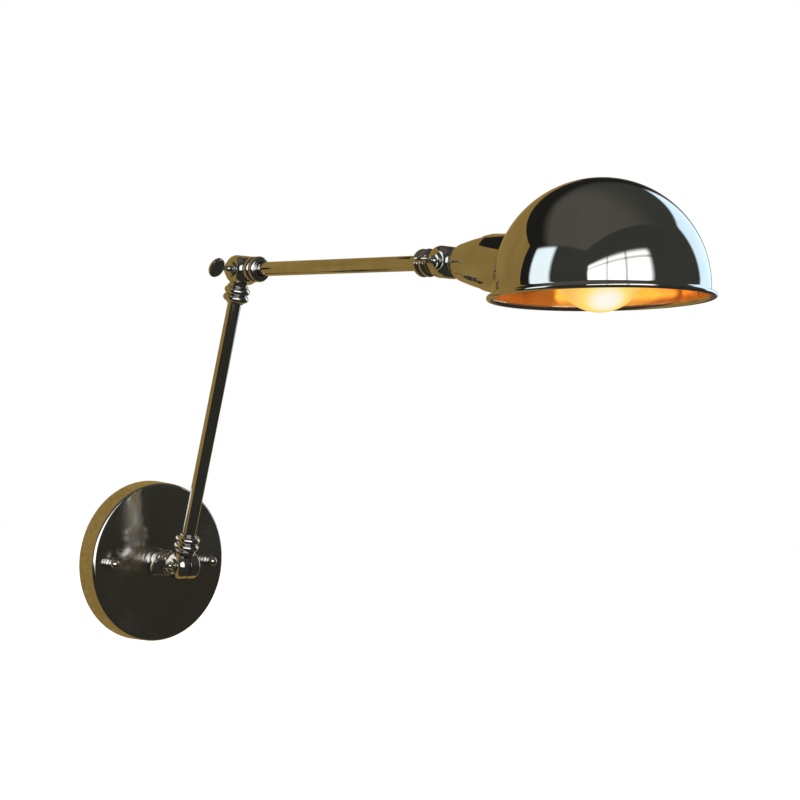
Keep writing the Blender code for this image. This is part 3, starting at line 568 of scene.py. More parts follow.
def make_finishes(painted_bulb_spot: Vector) -> Finishes:
    """Make every finish.

    Args:
        painted_bulb_spot: Where the painted highlight on the bulb's glass is brightest.

    Returns:
        The set of materials.
    """
    return Finishes(
        plate=PolishedPlate(
            "polished_plate", (0.66, 0.65, 0.63), (0.61, 0.60, 0.58), roughness=0.035
        ).build(),
        plate_arm=PolishedPlate(
            "polished_arm_plate", (0.66, 0.65, 0.62), (0.60, 0.59, 0.56), roughness=0.06, wipe_scale=40.0
        ).build(),
        plate_cover=PolishedPlate(
            "satin_cover_plate", (0.66, 0.65, 0.62), (0.60, 0.59, 0.56), roughness=0.15, wipe_scale=30.0
        ).build(),
        # The inner face's warm tints are painted glow of the bulb's orange light, not the metal's own
        # colour.
        inside=SpunInside("spun_inside_painted_glow", (0.88, 0.68, 0.46), (0.80, 0.56, 0.34), 0.70, 0.08).build(),
        zinc=BrushedZinc("zinc_plate", (0.56, 0.56, 0.54), (0.46, 0.47, 0.47), roughness=0.36).build(),
        brass=TurnedBrass("turned_brass", (0.78, 0.58, 0.26), (0.50, 0.36, 0.16), roughness=0.28).build(),
        phenolic=MouldedBody(
            "moulded_phenolic", (0.74, 0.71, 0.64), (0.55, 0.51, 0.44), 0.0, 0.45
        ).build(),
        fibre=MouldedBody(
            "pressed_fibre", (0.055, 0.048, 0.042), (0.16, 0.13, 0.10), 0.0, 0.72, speckle_scale=1600.0
        ).build(),
        glass=GlowingGlass(
            "lit_frosted_glass", (0.92, 0.46, 0.07), (0.96, 0.60, 0.16), 0.0, 0.35, painted_hot_spot=tuple(painted_bulb_spot)
        ).build(),
        wire=HotWire("hot_wire", (1.0, 0.62, 0.25), (1.0, 0.50, 0.16), 0.0, 0.6).build(),
    )


# ---------------------------------------------------------------- threads and coils
def helix_tree() -> bpy.types.NodeTree:
    """A node tree that winds a round wire into a helix, for screw threads and the filament.

    Returns:
        The tree, with its sizes as named inputs.
    """
    tree = bpy.data.node_groups.new("wound_helix", "GeometryNodeTree")
    tree.interface.new_socket("Geometry", in_out="INPUT", socket_type="NodeSocketGeometry")
    for label in ("Turns", "Radius", "Length", "Wire Radius"):
        tree.interface.new_socket(label, in_out="INPUT", socket_type="NodeSocketFloat")
    tree.interface.new_socket("Finish", in_out="INPUT", socket_type="NodeSocketMaterial")
    tree.interface.new_socket("Geometry", in_out="OUTPUT", socket_type="NodeSocketGeometry")
    graph = Graph(tree)
    sizes = graph.node("NodeGroupInput").outputs
    spiral = graph.node("GeometryNodeCurveSpiral")
    spiral.inputs["Resolution"].default_value = 40
    graph.feed(spiral.inputs["Rotations"], sizes["Turns"])
    graph.feed(spiral.inputs["Start Radius"], sizes["Radius"])
    graph.feed(spiral.inputs["End Radius"], sizes["Radius"])
    graph.feed(spiral.inputs["Height"], sizes["Length"])
    section = graph.node("GeometryNodeCurvePrimitiveCircle")
    section.inputs["Resolution"].default_value = 8
    graph.feed(section.inputs["Radius"], sizes["Wire Radius"])
    sweep = graph.node("GeometryNodeCurveToMesh")
    graph.feed(sweep.inputs["Curve"], spiral.outputs[0])
    graph.feed(sweep.inputs["Profile Curve"], section.outputs[0])
    sweep.inputs["Fill Caps"].default_value = True
    smooth = graph.node("GeometryNodeSetShadeSmooth")
    graph.feed(smooth.inputs[0], sweep.outputs[0])
    realize = graph.node("GeometryNodeRealizeInstances")
    graph.feed(realize.inputs[0], smooth.outputs[0])
    dress = graph.node("GeometryNodeSetMaterial")
    graph.feed(dress.inputs["Geometry"], realize.outputs[0])
    graph.feed(dress.inputs["Material"], sizes["Finish"])
    graph.feed(graph.node("NodeGroupOutput").inputs[0], dress.outputs[0])
    return tree


@dataclass(frozen=True)
class Helix:
    """A wound wire: a raised screw thread or a coiled filament."""

    name: str
    radius: float
    length: float
    wire_radius: float
    pitch: float

    def build(self, tree: bpy.types.NodeTree, finish: bpy.types.Material, place: Matrix) -> bpy.types.Object:
        """Wind the helix.

        Args:
            tree: The helix's node tree.
            finish: Its material.
            place: Where local Z runs along the helix.

        Returns:
            The wound piece as a plain mesh.
        """
        source = piece(f"{self.name}_source", bpy.data.meshes.new(f"{self.name}_source"), finish)
        modifier = source.modifiers.new("Helix", "NODES")
        modifier.node_group = tree
        sizes = {
            "Turns": self.length / self.pitch, "Radius": self.radius, "Length": self.length,
            "Wire Radius": self.wire_radius, "Finish": finish,
        }
        for item in tree.interface.items_tree:
            if item.in_out == "INPUT" and item.name in sizes:
                modifier[item.identifier] = sizes[item.name]
        mesh = evaluated_mesh(source)
        bpy.data.objects.remove(source)
        mesh.name = self.name
        return piece(self.name, placed(mesh, place), finish)


# ---------------------------------------------------------------- wall plate
@dataclass(frozen=True)
class WallCanopy:
    """The spun cover on the wall."""

    face_radius: float = 59.25 * MM
    rim_radius: float = 60.0 * MM
    depth: float = 17.4 * MM
    wall: float = 1.2 * MM
    edge: float = 2.6 * MM
    stem_hole: float = 5.4 * MM
    stud_hole: float = 2.4 * MM
    stud_reach: float = 44.45 * MM

    def build(self, side_finish: bpy.types.Material, face_finish: bpy.types.Material) -> bpy.types.Object:
        """Spin the cover, drill its stud holes and dress its flat face.

        Args:
            side_finish: The polished plating of the side and the edge.
            face_finish: The softer plating of the flat face.

        Returns:
            The cover.
        """
        inner_edge = self.edge - self.wall
        profile = rounded(
            [
                Corner(self.stem_hole, self.depth, 0.15 * MM),
                Corner(self.face_radius, self.depth, self.edge),
                Corner(self.rim_radius, 0.0, 0.3 * MM),
                Corner(self.rim_radius - self.wall, 0.0, 0.3 * MM),
                Corner(self.face_radius - self.wall, self.depth - self.wall, inner_edge),
                Corner(self.stem_hole, self.depth - self.wall, 0.15 * MM),
            ],
            closed=True,
            steps=10,
        )
        mesh = placed(turned("canopy_cover", profile, 192, True), OUT_OF_WALL)
        cover = piece("canopy_cover", mesh, side_finish, face_finish)
        for face in mesh.polygons:
            face.material_index = int(face.normal.y < -0.999)
        for side in (-1, 1):
            hole = rod("stud_hole", self.stud_hole, self.depth / 2, self.depth * 1.5)
            carve(cover, placed(hole, OUT_OF_WALL @ move(x=side * self.stud_reach)), Carve.CUT)
        stand_for(cover, "canopy", "wall_plate")
        return cover


@dataclass(frozen=True)
class CapNut:
    """A small domed nut with a flange."""

    radius: float = 3.8 * MM
    flange_radius: float = 4.4 * MM
    flange: float = 1.2 * MM
    foot: float = 17.7 * MM
    tip: float = 26.7 * MM
    bore: float = 2.3 * MM
    bore_end: float = 23.7 * MM
    stud_reach: float = 44.45 * MM

    def build(self, side: int, word: str, finish: bpy.types.Material) -> bpy.types.Object:
        """Turn one nut.

        Args:
            side: -1 for the left one and 1 for the right one.
            word: The side's name.
            finish: The nut's plating.

        Returns:
            The nut.
        """
        waist = self.foot + self.flange
        crown = self.tip - self.radius
        profile = [(0.0, self.tip)] + arc(0.0, crown, self.radius, 86, 6, 14)
        profile += rounded(
            [
                Corner(self.radius, crown),
                Corner(self.radius, crown - 0.9 * MM, 0.1 * MM),
                Corner(self.radius * 0.9, crown - 1.2 * MM, 0.1 * MM),
                Corner(self.radius * 0.9, waist + 0.3 * MM, 0.15 * MM),
                Corner(self.flange_radius, waist, 0.4 * MM),
                Corner(self.flange_radius, self.foot, 0.2 * MM),
                Corner(self.bore, self.foot, 0.1 * MM),
                Corner(self.bore, self.bore_end, 0.1 * MM),
                Corner(0.0, self.bore_end),
            ]
        )
        place = OUT_OF_WALL @ move(x=side * self.stud_reach)
        nut = piece(f"domed_nut_{word}", placed(turned("domed_nut", profile, 64), place), finish)
        stand_for(nut, f"cap_nut_{word}", "wall_plate")
        return nut


# ---------------------------------------------------------------- knuckles
@dataclass(frozen=True)
class KnuckleForm:
    """Sizes that every knuckle half shares. Reaches run from the hinge axis along the stem."""

    ear_radius: float = 10.3 * MM
    seam_half: float = 0.5 * MM
    seam_proud: float = 0.03 * MM
    sweep_gap: float = 0.5 * MM
    domed_straight: float = 4.2 * MM
    domed_depth: float = 9.2 * MM
    seat_radius: float = 5.8 * MM
    plain_depth: float = 9.6 * MM
    plain_edge: float = 2.4 * MM
    pivot_radius: float = 2.4 * MM
    pivot_blind: float = 7.6 * MM
    neck_radius: float = 6.6 * MM
    ring_reach: float = 11.9 * MM
    ring_radius: float = 7.5 * MM
    ring_half: float = 0.5 * MM
    bead_radius: float = 9.2 * MM
    bead_round: float = 2.7 * MM
    near_bead: float = 15.2 * MM
    far_bead: float = 20.6 * MM
    lip_radius: float = 6.2 * MM
    collar_reach: float = 24.4 * MM
    socket_depth: float = 9.0 * MM
    socket_radius: float = 5.3 * MM
    base_reach: float = 28.7 * MM
    base_ring_radius: float = 10.3 * MM
    base_ring_back: float = 4.6 * MM
    base_ring_front: float = 9.4 * MM
    base_foot_radius: float = 9.2 * MM
    thread_radius: float = 5.0 * MM
    base_thread: float = 9.5 * MM
    cup_start: float = 11.5 * MM
    cup_thread: float = 9.0 * MM

    def bead(self, reach: float) -> list[Point]:
        """One rounded bead of a collar."""
        return arc(self.bead_radius - self.bead_round, reach, self.bead_round, 76, -76, 18)

    def neck(self) -> list[Point]:
        """The neck with its thin ring, and the shank that runs into the ear."""
        inner = self.ear_radius / 2
        return rounded(
            [
                Corner(self.neck_radius, self.ring_reach + 1.6 * self.ring_half),
                Corner(self.neck_radius, self.ring_reach + self.ring_half, 0.15 * MM),
                Corner(self.ring_radius, self.ring_reach + self.ring_half, 0.35 * MM),
                Corner(self.ring_radius, self.ring_reach - self.ring_half, 0.35 * MM),
                Corner(self.neck_radius, self.ring_reach - self.ring_half, 0.15 * MM),
                Corner(self.neck_radius, inner),
                Corner(0.0, inner),
            ]
        )

    def collar(self) -> list[Point]:
        """A stem with two beads and a socket for a tube."""
        bottom = self.collar_reach - self.socket_depth
        lip = rounded(
            [
                Corner(0.0, bottom),
                Corner(self.socket_radius, bottom, 0.2 * MM),
                Corner(self.socket_radius, self.collar_reach, 0.2 * MM),
                Corner(self.lip_radius, self.collar_reach, 0.35 * MM),
                Corner(self.lip_radius, self.far_bead + self.bead_round),
            ]
        )
        return lip + self.bead(self.far_bead) + self.bead(self.near_bead) + self.neck()

    def base_stem(self) -> list[Point]:
        """The fixed half's stem: thread, foot, broad ring, bead and neck."""
        end = self.base_reach + self.base_thread
        foot = self.base_reach - TOUCH_GAP
        half = (self.base_ring_front - self.base_ring_back) / 2
        ring = self.base_reach - (self.base_ring_front + self.base_ring_back) / 2
        start = rounded(
            [
                Corner(0.0, end),
                Corner(self.thread_radius, end, 0.5 * MM),
                Corner(self.thread_radius, foot, 0.1 * MM),
                Corner(self.base_foot_radius, foot, 0.5 * MM),
                Corner(self.base_foot_radius, ring + half, 0.2 * MM),
                Corner(self.base_ring_radius - half, ring + half),
            ]
        )
        broad_ring = arc(self.base_ring_radius - half, ring, half, 80, -76, 18)
        return start + broad_ring + self.bead(self.near_bead) + self.neck()

    def cup_stem(self) -> list[Point]:
        """The last half's short neck and the thread inside the cup."""
        shoulder = self.cup_start - TOUCH_GAP
        end = self.cup_start + self.cup_thread
        return rounded(
            [
                Corner(0.0, end),
                Corner(self.thread_radius, end, 0.4 * MM),
                Corner(self.thread_radius, shoulder, 0.1 * MM),
                Corner(self.neck_radius, shoulder, 0.4 * MM),
                Corner(self.neck_radius, self.ear_radius / 2),
                Corner(0.0, self.ear_radius / 2),
            ]
        )

    def ear(self, side: Ear) -> list[Point]:
        """Profile of an ear along the hinge, out from the seam, with its pivot hole.

        Args:
            side: Which ear.

        Returns:
            The profile.
        """
        foot = self.seam_half - self.seam_proud
        if side is Ear.PLAIN:
            return rounded(
                [
                    Corner(0.0, self.plain_depth),
                    Corner(self.ear_radius, self.plain_depth, self.plain_edge),
                    Corner(self.ear_radius, foot, 0.15 * MM),
                    Corner(self.pivot_radius, foot, 0.1 * MM),
                    Corner(self.pivot_radius, self.pivot_blind),
                    Corner(0.0, self.pivot_blind),
                ],
                steps=16,
            )
        rise = self.domed_depth - self.domed_straight
        run = self.ear_radius - self.seat_radius
        dome: list[Point] = []
        steps = 20
        for step in range(steps + 1):
            angle = math.radians(90.0 * (1 - step / steps))
            radius = self.seat_radius + run * math.cos(angle)
            dome.append((radius, self.domed_straight + rise * math.sin(angle)))
        under = [(self.ear_radius, foot), (self.pivot_radius, foot)]
        return [(self.pivot_radius, self.domed_depth)] + dome + under


@dataclass(frozen=True)
class KnuckleHalf:
    """One half of a friction knuckle: a stem and an ear."""

    name: str
    node: str
    body: str
    side: Ear
    stem: list[Point]
    place: Matrix
    form: KnuckleForm

    def build(self, finish: bpy.types.Material) -> bpy.types.Object:
        """Turn the stem and the ear, join them, and clear the other half's sweep.

        Args:
            finish: The half's plating.

        Returns:
            The half.
        """
        form = self.form
        half = piece(self.name, placed(turned(self.name, self.stem, 96), self.place), finish)
        to_side = TO_THUMB if self.side is Ear.DOMED else TO_THUMB.inverted()
        closed = self.side is Ear.DOMED
        ear = turned("ear", form.ear(self.side), 96, closed)
        sweep = rod("sweep", form.ear_radius + form.sweep_gap, -form.seam_half, form.ear_radius * 2, 96)
        carve(half, placed(sweep, self.place @ to_side.inverted()), Carve.CUT)
        carve(half, placed(ear, self.place @ to_side), Carve.JOIN)
        stand_for(half, self.node, self.body)
        return half


@dataclass(frozen=True)
class ThumbScrew:
    """A thumb screw: shank, bell, neck and a flat oval blade. Local Z runs out of the knuckle."""

    seat: float = 10.5 * MM
    reach: float = 28.2 * MM
    shank: float = 2.0 * MM
    shank_end: float = -6.9 * MM
    bell_radius: float = 5.4 * MM
    bell_rim: float = 0.9 * MM
    bell_length: float = 3.6 * MM
    neck: float = 1.8 * MM
    blade_length: float = 12.4 * MM
    blade_width: float = 15.0 * MM
    blade_thickness: float = 2.4 * MM
    blade_dish: float = 0.35 * MM

    def shank_profile(self) -> list[Point]:
        """Profile of the shank, the bell and the neck."""
        top = self.reach - 0.75 * self.blade_length
        flare = self.bell_radius - self.neck
        bell: list[Point] = []
        steps = 18
        for step in range(steps + 1):
            angle = math.radians(90.0 * step / steps)
            height = self.seat + self.bell_rim + (self.bell_length - self.bell_rim) * (1 - math.sin(angle))
            bell.append((self.neck + flare * (1 - math.cos(angle)), height))
        rest = rounded(
            [
                Corner(self.bell_radius, self.seat + self.bell_rim),
                Corner(self.bell_radius, self.seat, 0.25 * MM),
                Corner(self.shank, self.seat, 0.1 * MM),
                Corner(self.shank, self.shank_end, 0.4 * MM),
                Corner(0.0, self.shank_end),
            ]
        )
        return [(0.0, top), (self.neck, top)] + bell + rest[1:]

    def blade(self) -> bpy.types.Mesh:
        """The oval grip, with a rounded rim and lightly dished faces.

        Returns:
            The blade's mesh, in the local YZ plane.
        """
        centre = self.reach - self.blade_length / 2
        half = self.blade_thickness / 2
        dish = half - self.blade_dish
        rings: list[Point] = [(-dish, 0.60), (-dish, 0.80), (-half, 0.90)]
        for angle in (0.5, 0.9, 1.25, 1.57, 1.89, 2.24, 2.64):
            rings.append((-half * math.cos(angle), 0.90 + 0.10 * math.sin(angle)))
        rings += [(half, 0.90), (dish, 0.80), (dish, 0.60)]
        bm = bmesh.new()
        around = 64
        loops = []
        for offset, share in rings:
            loop = []
            for step in range(around):
                angle = math.tau * step / around
                y = self.blade_width / 2 * share * math.cos(angle)
                z = centre + self.blade_length / 2 * share * math.sin(angle)
                loop.append(bm.verts.new((offset, y, z)))
            loops.append(loop)
        for low, high in zip(loops, loops[1:]):
            for step in range(around):
                after = (step + 1) % around
                bm.faces.new((low[step], low[after], high[after], high[step]))
        bm.faces.new(loops[0])
        bm.faces.new(loops[-1])
        return finished("blade", bm)

    def build(
        self, name: str, node: str, body: str, place: Matrix, finish: bpy.types.Material
    ) -> bpy.types.Object:
        """Turn the shank and join the blade on.

        Args:
            name: The piece's name.
            node: The node that it stands for.
            body: The body that it rides on.
            place: Where its local Z leaves the hinge.
            finish: Its plating.

        Returns:
            The thumb screw.
        """
        screw = piece(name, placed(turned(name, self.shank_profile(), 64), place), finish)
        carve(screw, placed(self.blade(), place), Carve.JOIN)
        stand_for(screw, node, body)
        return screw


@dataclass(frozen=True)
class FlatWasher:
    """A flat ring along local Z."""

    outer: float
    hole: float
    start: float
    thickness: float

    def build(
        self, name: str, node: str, body: str, place: Matrix, finish: bpy.types.Material
    ) -> bpy.types.Object:
        """Turn the ring with broken edges.

        Args:
            name: The piece's name.
            node: The node that it stands for.
            body: The body that it rides on.
            place: Where its local Z runs.
            finish: Its finish.

        Returns:
            The washer.
        """
        bend = self.thickness / 4
        end = self.start + self.thickness
        corners = [Corner(self.outer, end, bend), Corner(self.outer, self.start, bend)]
        corners += [Corner(self.hole, self.start, bend), Corner(self.hole, end, bend)]
        mesh = turned(name, rounded(corners, closed=True, steps=3), 96, True)
        ring = piece(name, placed(mesh, place), finish)
        stand_for(ring, node, body)
        return ring


@dataclass(frozen=True)
class ArmTube:
    """A plain plated tube seated in two collars."""

    radius: float = 5.0 * MM
    wall: float = 1.0 * MM
    seat: float = 15.9 * MM

    def build(
        self, name: str, body: str, start: Vector, end: Vector, finish: bpy.types.Material
    ) -> bpy.types.Object:
        """Draw the tube between two hinges.

        Args:
            name: The node that it stands for.
            body: The body that it rides on.
            start: The near hinge.
            end: The far hinge.
            finish: Its plating.

        Returns:
            The tube.
        """
        length = (end - start).length
        corners = [
            Corner(self.radius, length - self.seat, 0.2 * MM),
            Corner(self.radius, self.seat, 0.2 * MM),
            Corner(self.radius - self.wall, self.seat, 0.2 * MM),
            Corner(self.radius - self.wall, length - self.seat, 0.2 * MM),
        ]
        mesh = turned(name, rounded(corners, closed=True, steps=4), 128, True)
        tube = piece(f"{name}_drawn", placed(mesh, aimed(start, end)), finish)
        stand_for(tube, name, body)
        return tube


# ---------------------------------------------------------------- head
@dataclass(frozen=True)
class HeadForm:
    """Where the head's pieces lie, from the shade hinge along the cup's axis."""

    droop_deg: float = 2.4
    dome_radius: float = 64.0 * MM
    dome_out: float = 132.9 * MM
    dome_drop: float = 12.5 * MM
    cant_deg: float = 6.4

    def cup_place(self) -> Matrix:
        """Local Z along the cup's axis, from the shade hinge."""
        return Matrix.Translation(joint_point("shade_tilt")) @ turn_x(90.0 + self.droop_deg)

    def dome_place(self) -> Matrix:
        """Local Z up the dome's axis, from the centre of its sphere."""
        return self.cup_place() @ move(y=-self.dome_drop, z=self.dome_out) @ turn_x(-90.0 - self.cant_deg)


@dataclass(frozen=True)
class SocketCup:
    """The bell-shaped cup between the knuckle and the dome."""

    start: float = 11.5 * MM
    end: float = 92.0 * MM
    wall: float = 1.0 * MM
    hole: float = 5.6 * MM
    small_radius: float = 9.6 * MM
    waist_reach: float = 21.0 * MM
    waist_radius: float = 13.2 * MM
    shoulder_reach: float = 38.5 * MM
    shoulder_radius: float = 16.8 * MM
    band_reach: float = 44.0 * MM
    band_radius: float = 18.4 * MM
    inner_start_radius: float = 10.2 * MM

    def profile(self) -> list[Point]:
        """The cup's closed profile: small end, bell, shoulder step, band, and the inner wall back."""
        wall = self.wall
        corner = 0.8 * wall
        throat_radius = (self.small_radius + self.waist_radius) / 2 + 0.5 * MM
        flank_radius = self.waist_radius * 0.42 + self.shoulder_radius * 0.58
        bell = flowing(
            [
                (self.small_radius, self.start + corner),
                (throat_radius, (self.start + self.waist_reach) / 2),
                (self.waist_radius, self.waist_reach),
                (flank_radius, (self.waist_reach + self.shoulder_reach) / 2),
                (self.shoulder_radius, self.shoulder_reach),
            ],
            10,
        )
        step = arc(self.shoulder_radius + 0.2 * MM, self.shoulder_reach + 0.9 * MM, 0.7 * MM, 250, 340, 6)
        rim = flowing(
            [
                (self.shoulder_radius + 0.9 * MM, self.shoulder_reach + 1.6 * MM),
                (self.band_radius - 0.25 * MM, self.band_reach - 1.6 * MM),
                (self.band_radius, self.band_reach),
            ],
            6,
        )
        outer = [(self.small_radius - corner, self.start)]
        outer += arc(self.small_radius - corner, self.start + corner, corner, -80, -10, 5)
        outer += bell + step + rim + [(self.band_radius, self.end)]
        inner = [(self.band_radius - wall, self.end), (self.band_radius - wall, self.band_reach + wall)]
        for radius, reach in bell[::-2]:
            if radius > self.inner_start_radius:
                inner.append((radius - wall, reach + wall))
        inner += [(self.small_radius - wall, self.start + wall), (self.hole, self.start + wall)]
        return [(self.hole, self.start)] + outer + inner

    def build(self, head: HeadForm, finish: bpy.types.Material) -> bpy.types.Object:
        """Spin the cup and trim it to the dome.

        Args:
            head: The head's layout.
            finish: The cup's plating.

        Returns:
            The cup.
        """
        place = head.cup_place()
        cup = piece("bell_cup", placed(turned("bell_cup", self.profile(), 160, True), place), finish)
        radius = head.dome_radius + TOUCH_GAP
        ball = [(0.0, radius)] + arc(0.0, 0.0, radius, 88, -88, 88) + [(0.0, -radius)]
        carve(cup, placed(turned("trim", ball, 128), head.dome_place()), Carve.CUT)
        stand_for(cup, "socket_cup", "head")
        return cup


@dataclass(frozen=True)
class DomeShade:
    """The spun dome with a short skirt and a rolled lip."""

    wall: float = 1.0 * MM
    skirt: float = 7.6 * MM
    lip_radius: float = 67.4 * MM
    lip_round: float = 1.6 * MM
    flare: float = 2.0 * MM
    hole: float = 16.8 * MM
    hole_start: float = 44.0 * MM
    hole_end: float = 100.9 * MM

    def build(
        self, head: HeadForm, outside: bpy.types.Material, inside: bpy.types.Material
    ) -> bpy.types.Object:
        """Spin the dome, cut its hole and dress its inner face.

        Args:
            head: The head's layout.
            outside: The mirror plating.
            inside: The satin inner finish, tinted warm as painted glow of the bulb.

        Returns:
            The dome.
        """
        radius = head.dome_radius
        inner = radius - self.wall
        lip_centre = self.lip_radius - self.lip_round
        lip_height = self.lip_round - self.skirt
        flare_height = lip_height + self.lip_round * 0.7 + self.flare
        profile = [(0.0, radius)] + arc(0.0, 0.0, radius, 89, 0, 89)
        profile += arc(radius + self.flare, flare_height, self.flare, 180, 250, 10)
        profile += arc(lip_centre, lip_height, self.lip_round, 70, -90, 18)
        turn_in = lip_centre - inner
        profile += arc(lip_centre, turn_in - self.skirt, turn_in, 270, 180, 12)[1:]
        profile += arc(0.0, 0.0, inner, 0, 89, 89) + [(0.0, inner)]
        place = head.dome_place()
        shade = piece("dome_spun", placed(turned("dome_spun", profile, 224), place), outside, inside)
        self.dress_inside(shade, place.inverted(), radius - self.wall / 2)
        hole = rod("holder_hole", self.hole, self.hole_start, self.hole_end, 96)
        carve(shade, placed(hole, head.cup_place()), Carve.CUT)
        stand_for(shade, "dome_shade", "head")
        return shade

    def dress_inside(self, shade: bpy.types.Object, to_dome: Matrix, middle: float) -> None:
        """Give the faces that look into the dome the inner finish."""
        for face in shade.data.polygons:
            spot = to_dome @ face.center
            reach = spot.length if spot.z > 0.0 else math.hypot(spot.x, spot.y)
            facing = (to_dome.to_3x3() @ face.normal).dot(Vector((spot.x, spot.y, max(spot.z, 0.0))))
            if facing < 0.0 and reach < middle + self.wall and spot.z > self.lip_round - self.skirt:
                face.material_index = 1


@dataclass(frozen=True)
class LampHolder:
    """The phenolic holder and the screw shell inside it."""

    start: float = 42.5 * MM
    end: float = 75.0 * MM
    radius: float = 16.2 * MM
    wall: float = 1.6 * MM
    floor: float = 3.0 * MM
    back_radius: float = 9.0 * MM
    back_start: float = 30.0 * MM
    wire_hole: float = 4.0 * MM
    shell_radius: float = 14.2 * MM
    shell_wall: float = 0.4 * MM
    shell_end: float = 72.0 * MM

    def build(self, head: HeadForm, body: bpy.types.Material, metal: bpy.types.Material) -> None:
        """Turn the holder and its shell.

        Args:
            head: The head's layout.
            body: The moulded finish.
            metal: The shell's finish.
        """
        floor = self.start + self.floor
        bore = self.radius - self.wall
        corners = [
            Corner(self.wire_hole, self.back_start, 0.2 * MM),
            Corner(self.back_radius, self.back_start, 0.5 * MM),
            Corner(self.back_radius, self.start, 0.4 * MM),
            Corner(self.radius, self.start, 0.8 * MM),
            Corner(self.radius, self.end, 0.5 * MM),
            Corner(bore, self.end, 0.4 * MM),
            Corner(bore, floor, 0.3 * MM),
            Corner(self.wire_hole, floor, 0.2 * MM),
        ]
        mesh = turned("holder_body", rounded(corners, closed=True, steps=5), 96, True)
        holder = piece("holder_body", placed(mesh, head.cup_place()), body)
        stand_for(holder, "lamp_holder", "head")
        start = floor + TOUCH_GAP
        inner = self.shell_radius - self.shell_wall
        turned_in = self.shell_radius - 3 * self.shell_wall
        corners = [
            Corner(self.shell_radius, self.shell_end, 0.1 * MM),
            Corner(self.shell_radius, start, 0.3 * MM),
            Corner(turned_in, start, 0.05 * MM),
            Corner(turned_in, start + self.shell_wall, 0.05 * MM),
            Corner(inner, start + self.shell_wall, 0.05 * MM),
            Corner(inner, self.shell_end, 0.1 * MM),
        ]
        mesh = turned("screw_shell", rounded(corners, closed=True, steps=3), 96, True)
        shell = piece("screw_shell", placed(mesh, head.cup_place()), metal)
        stand_for(shell, "holder_shell", "head")


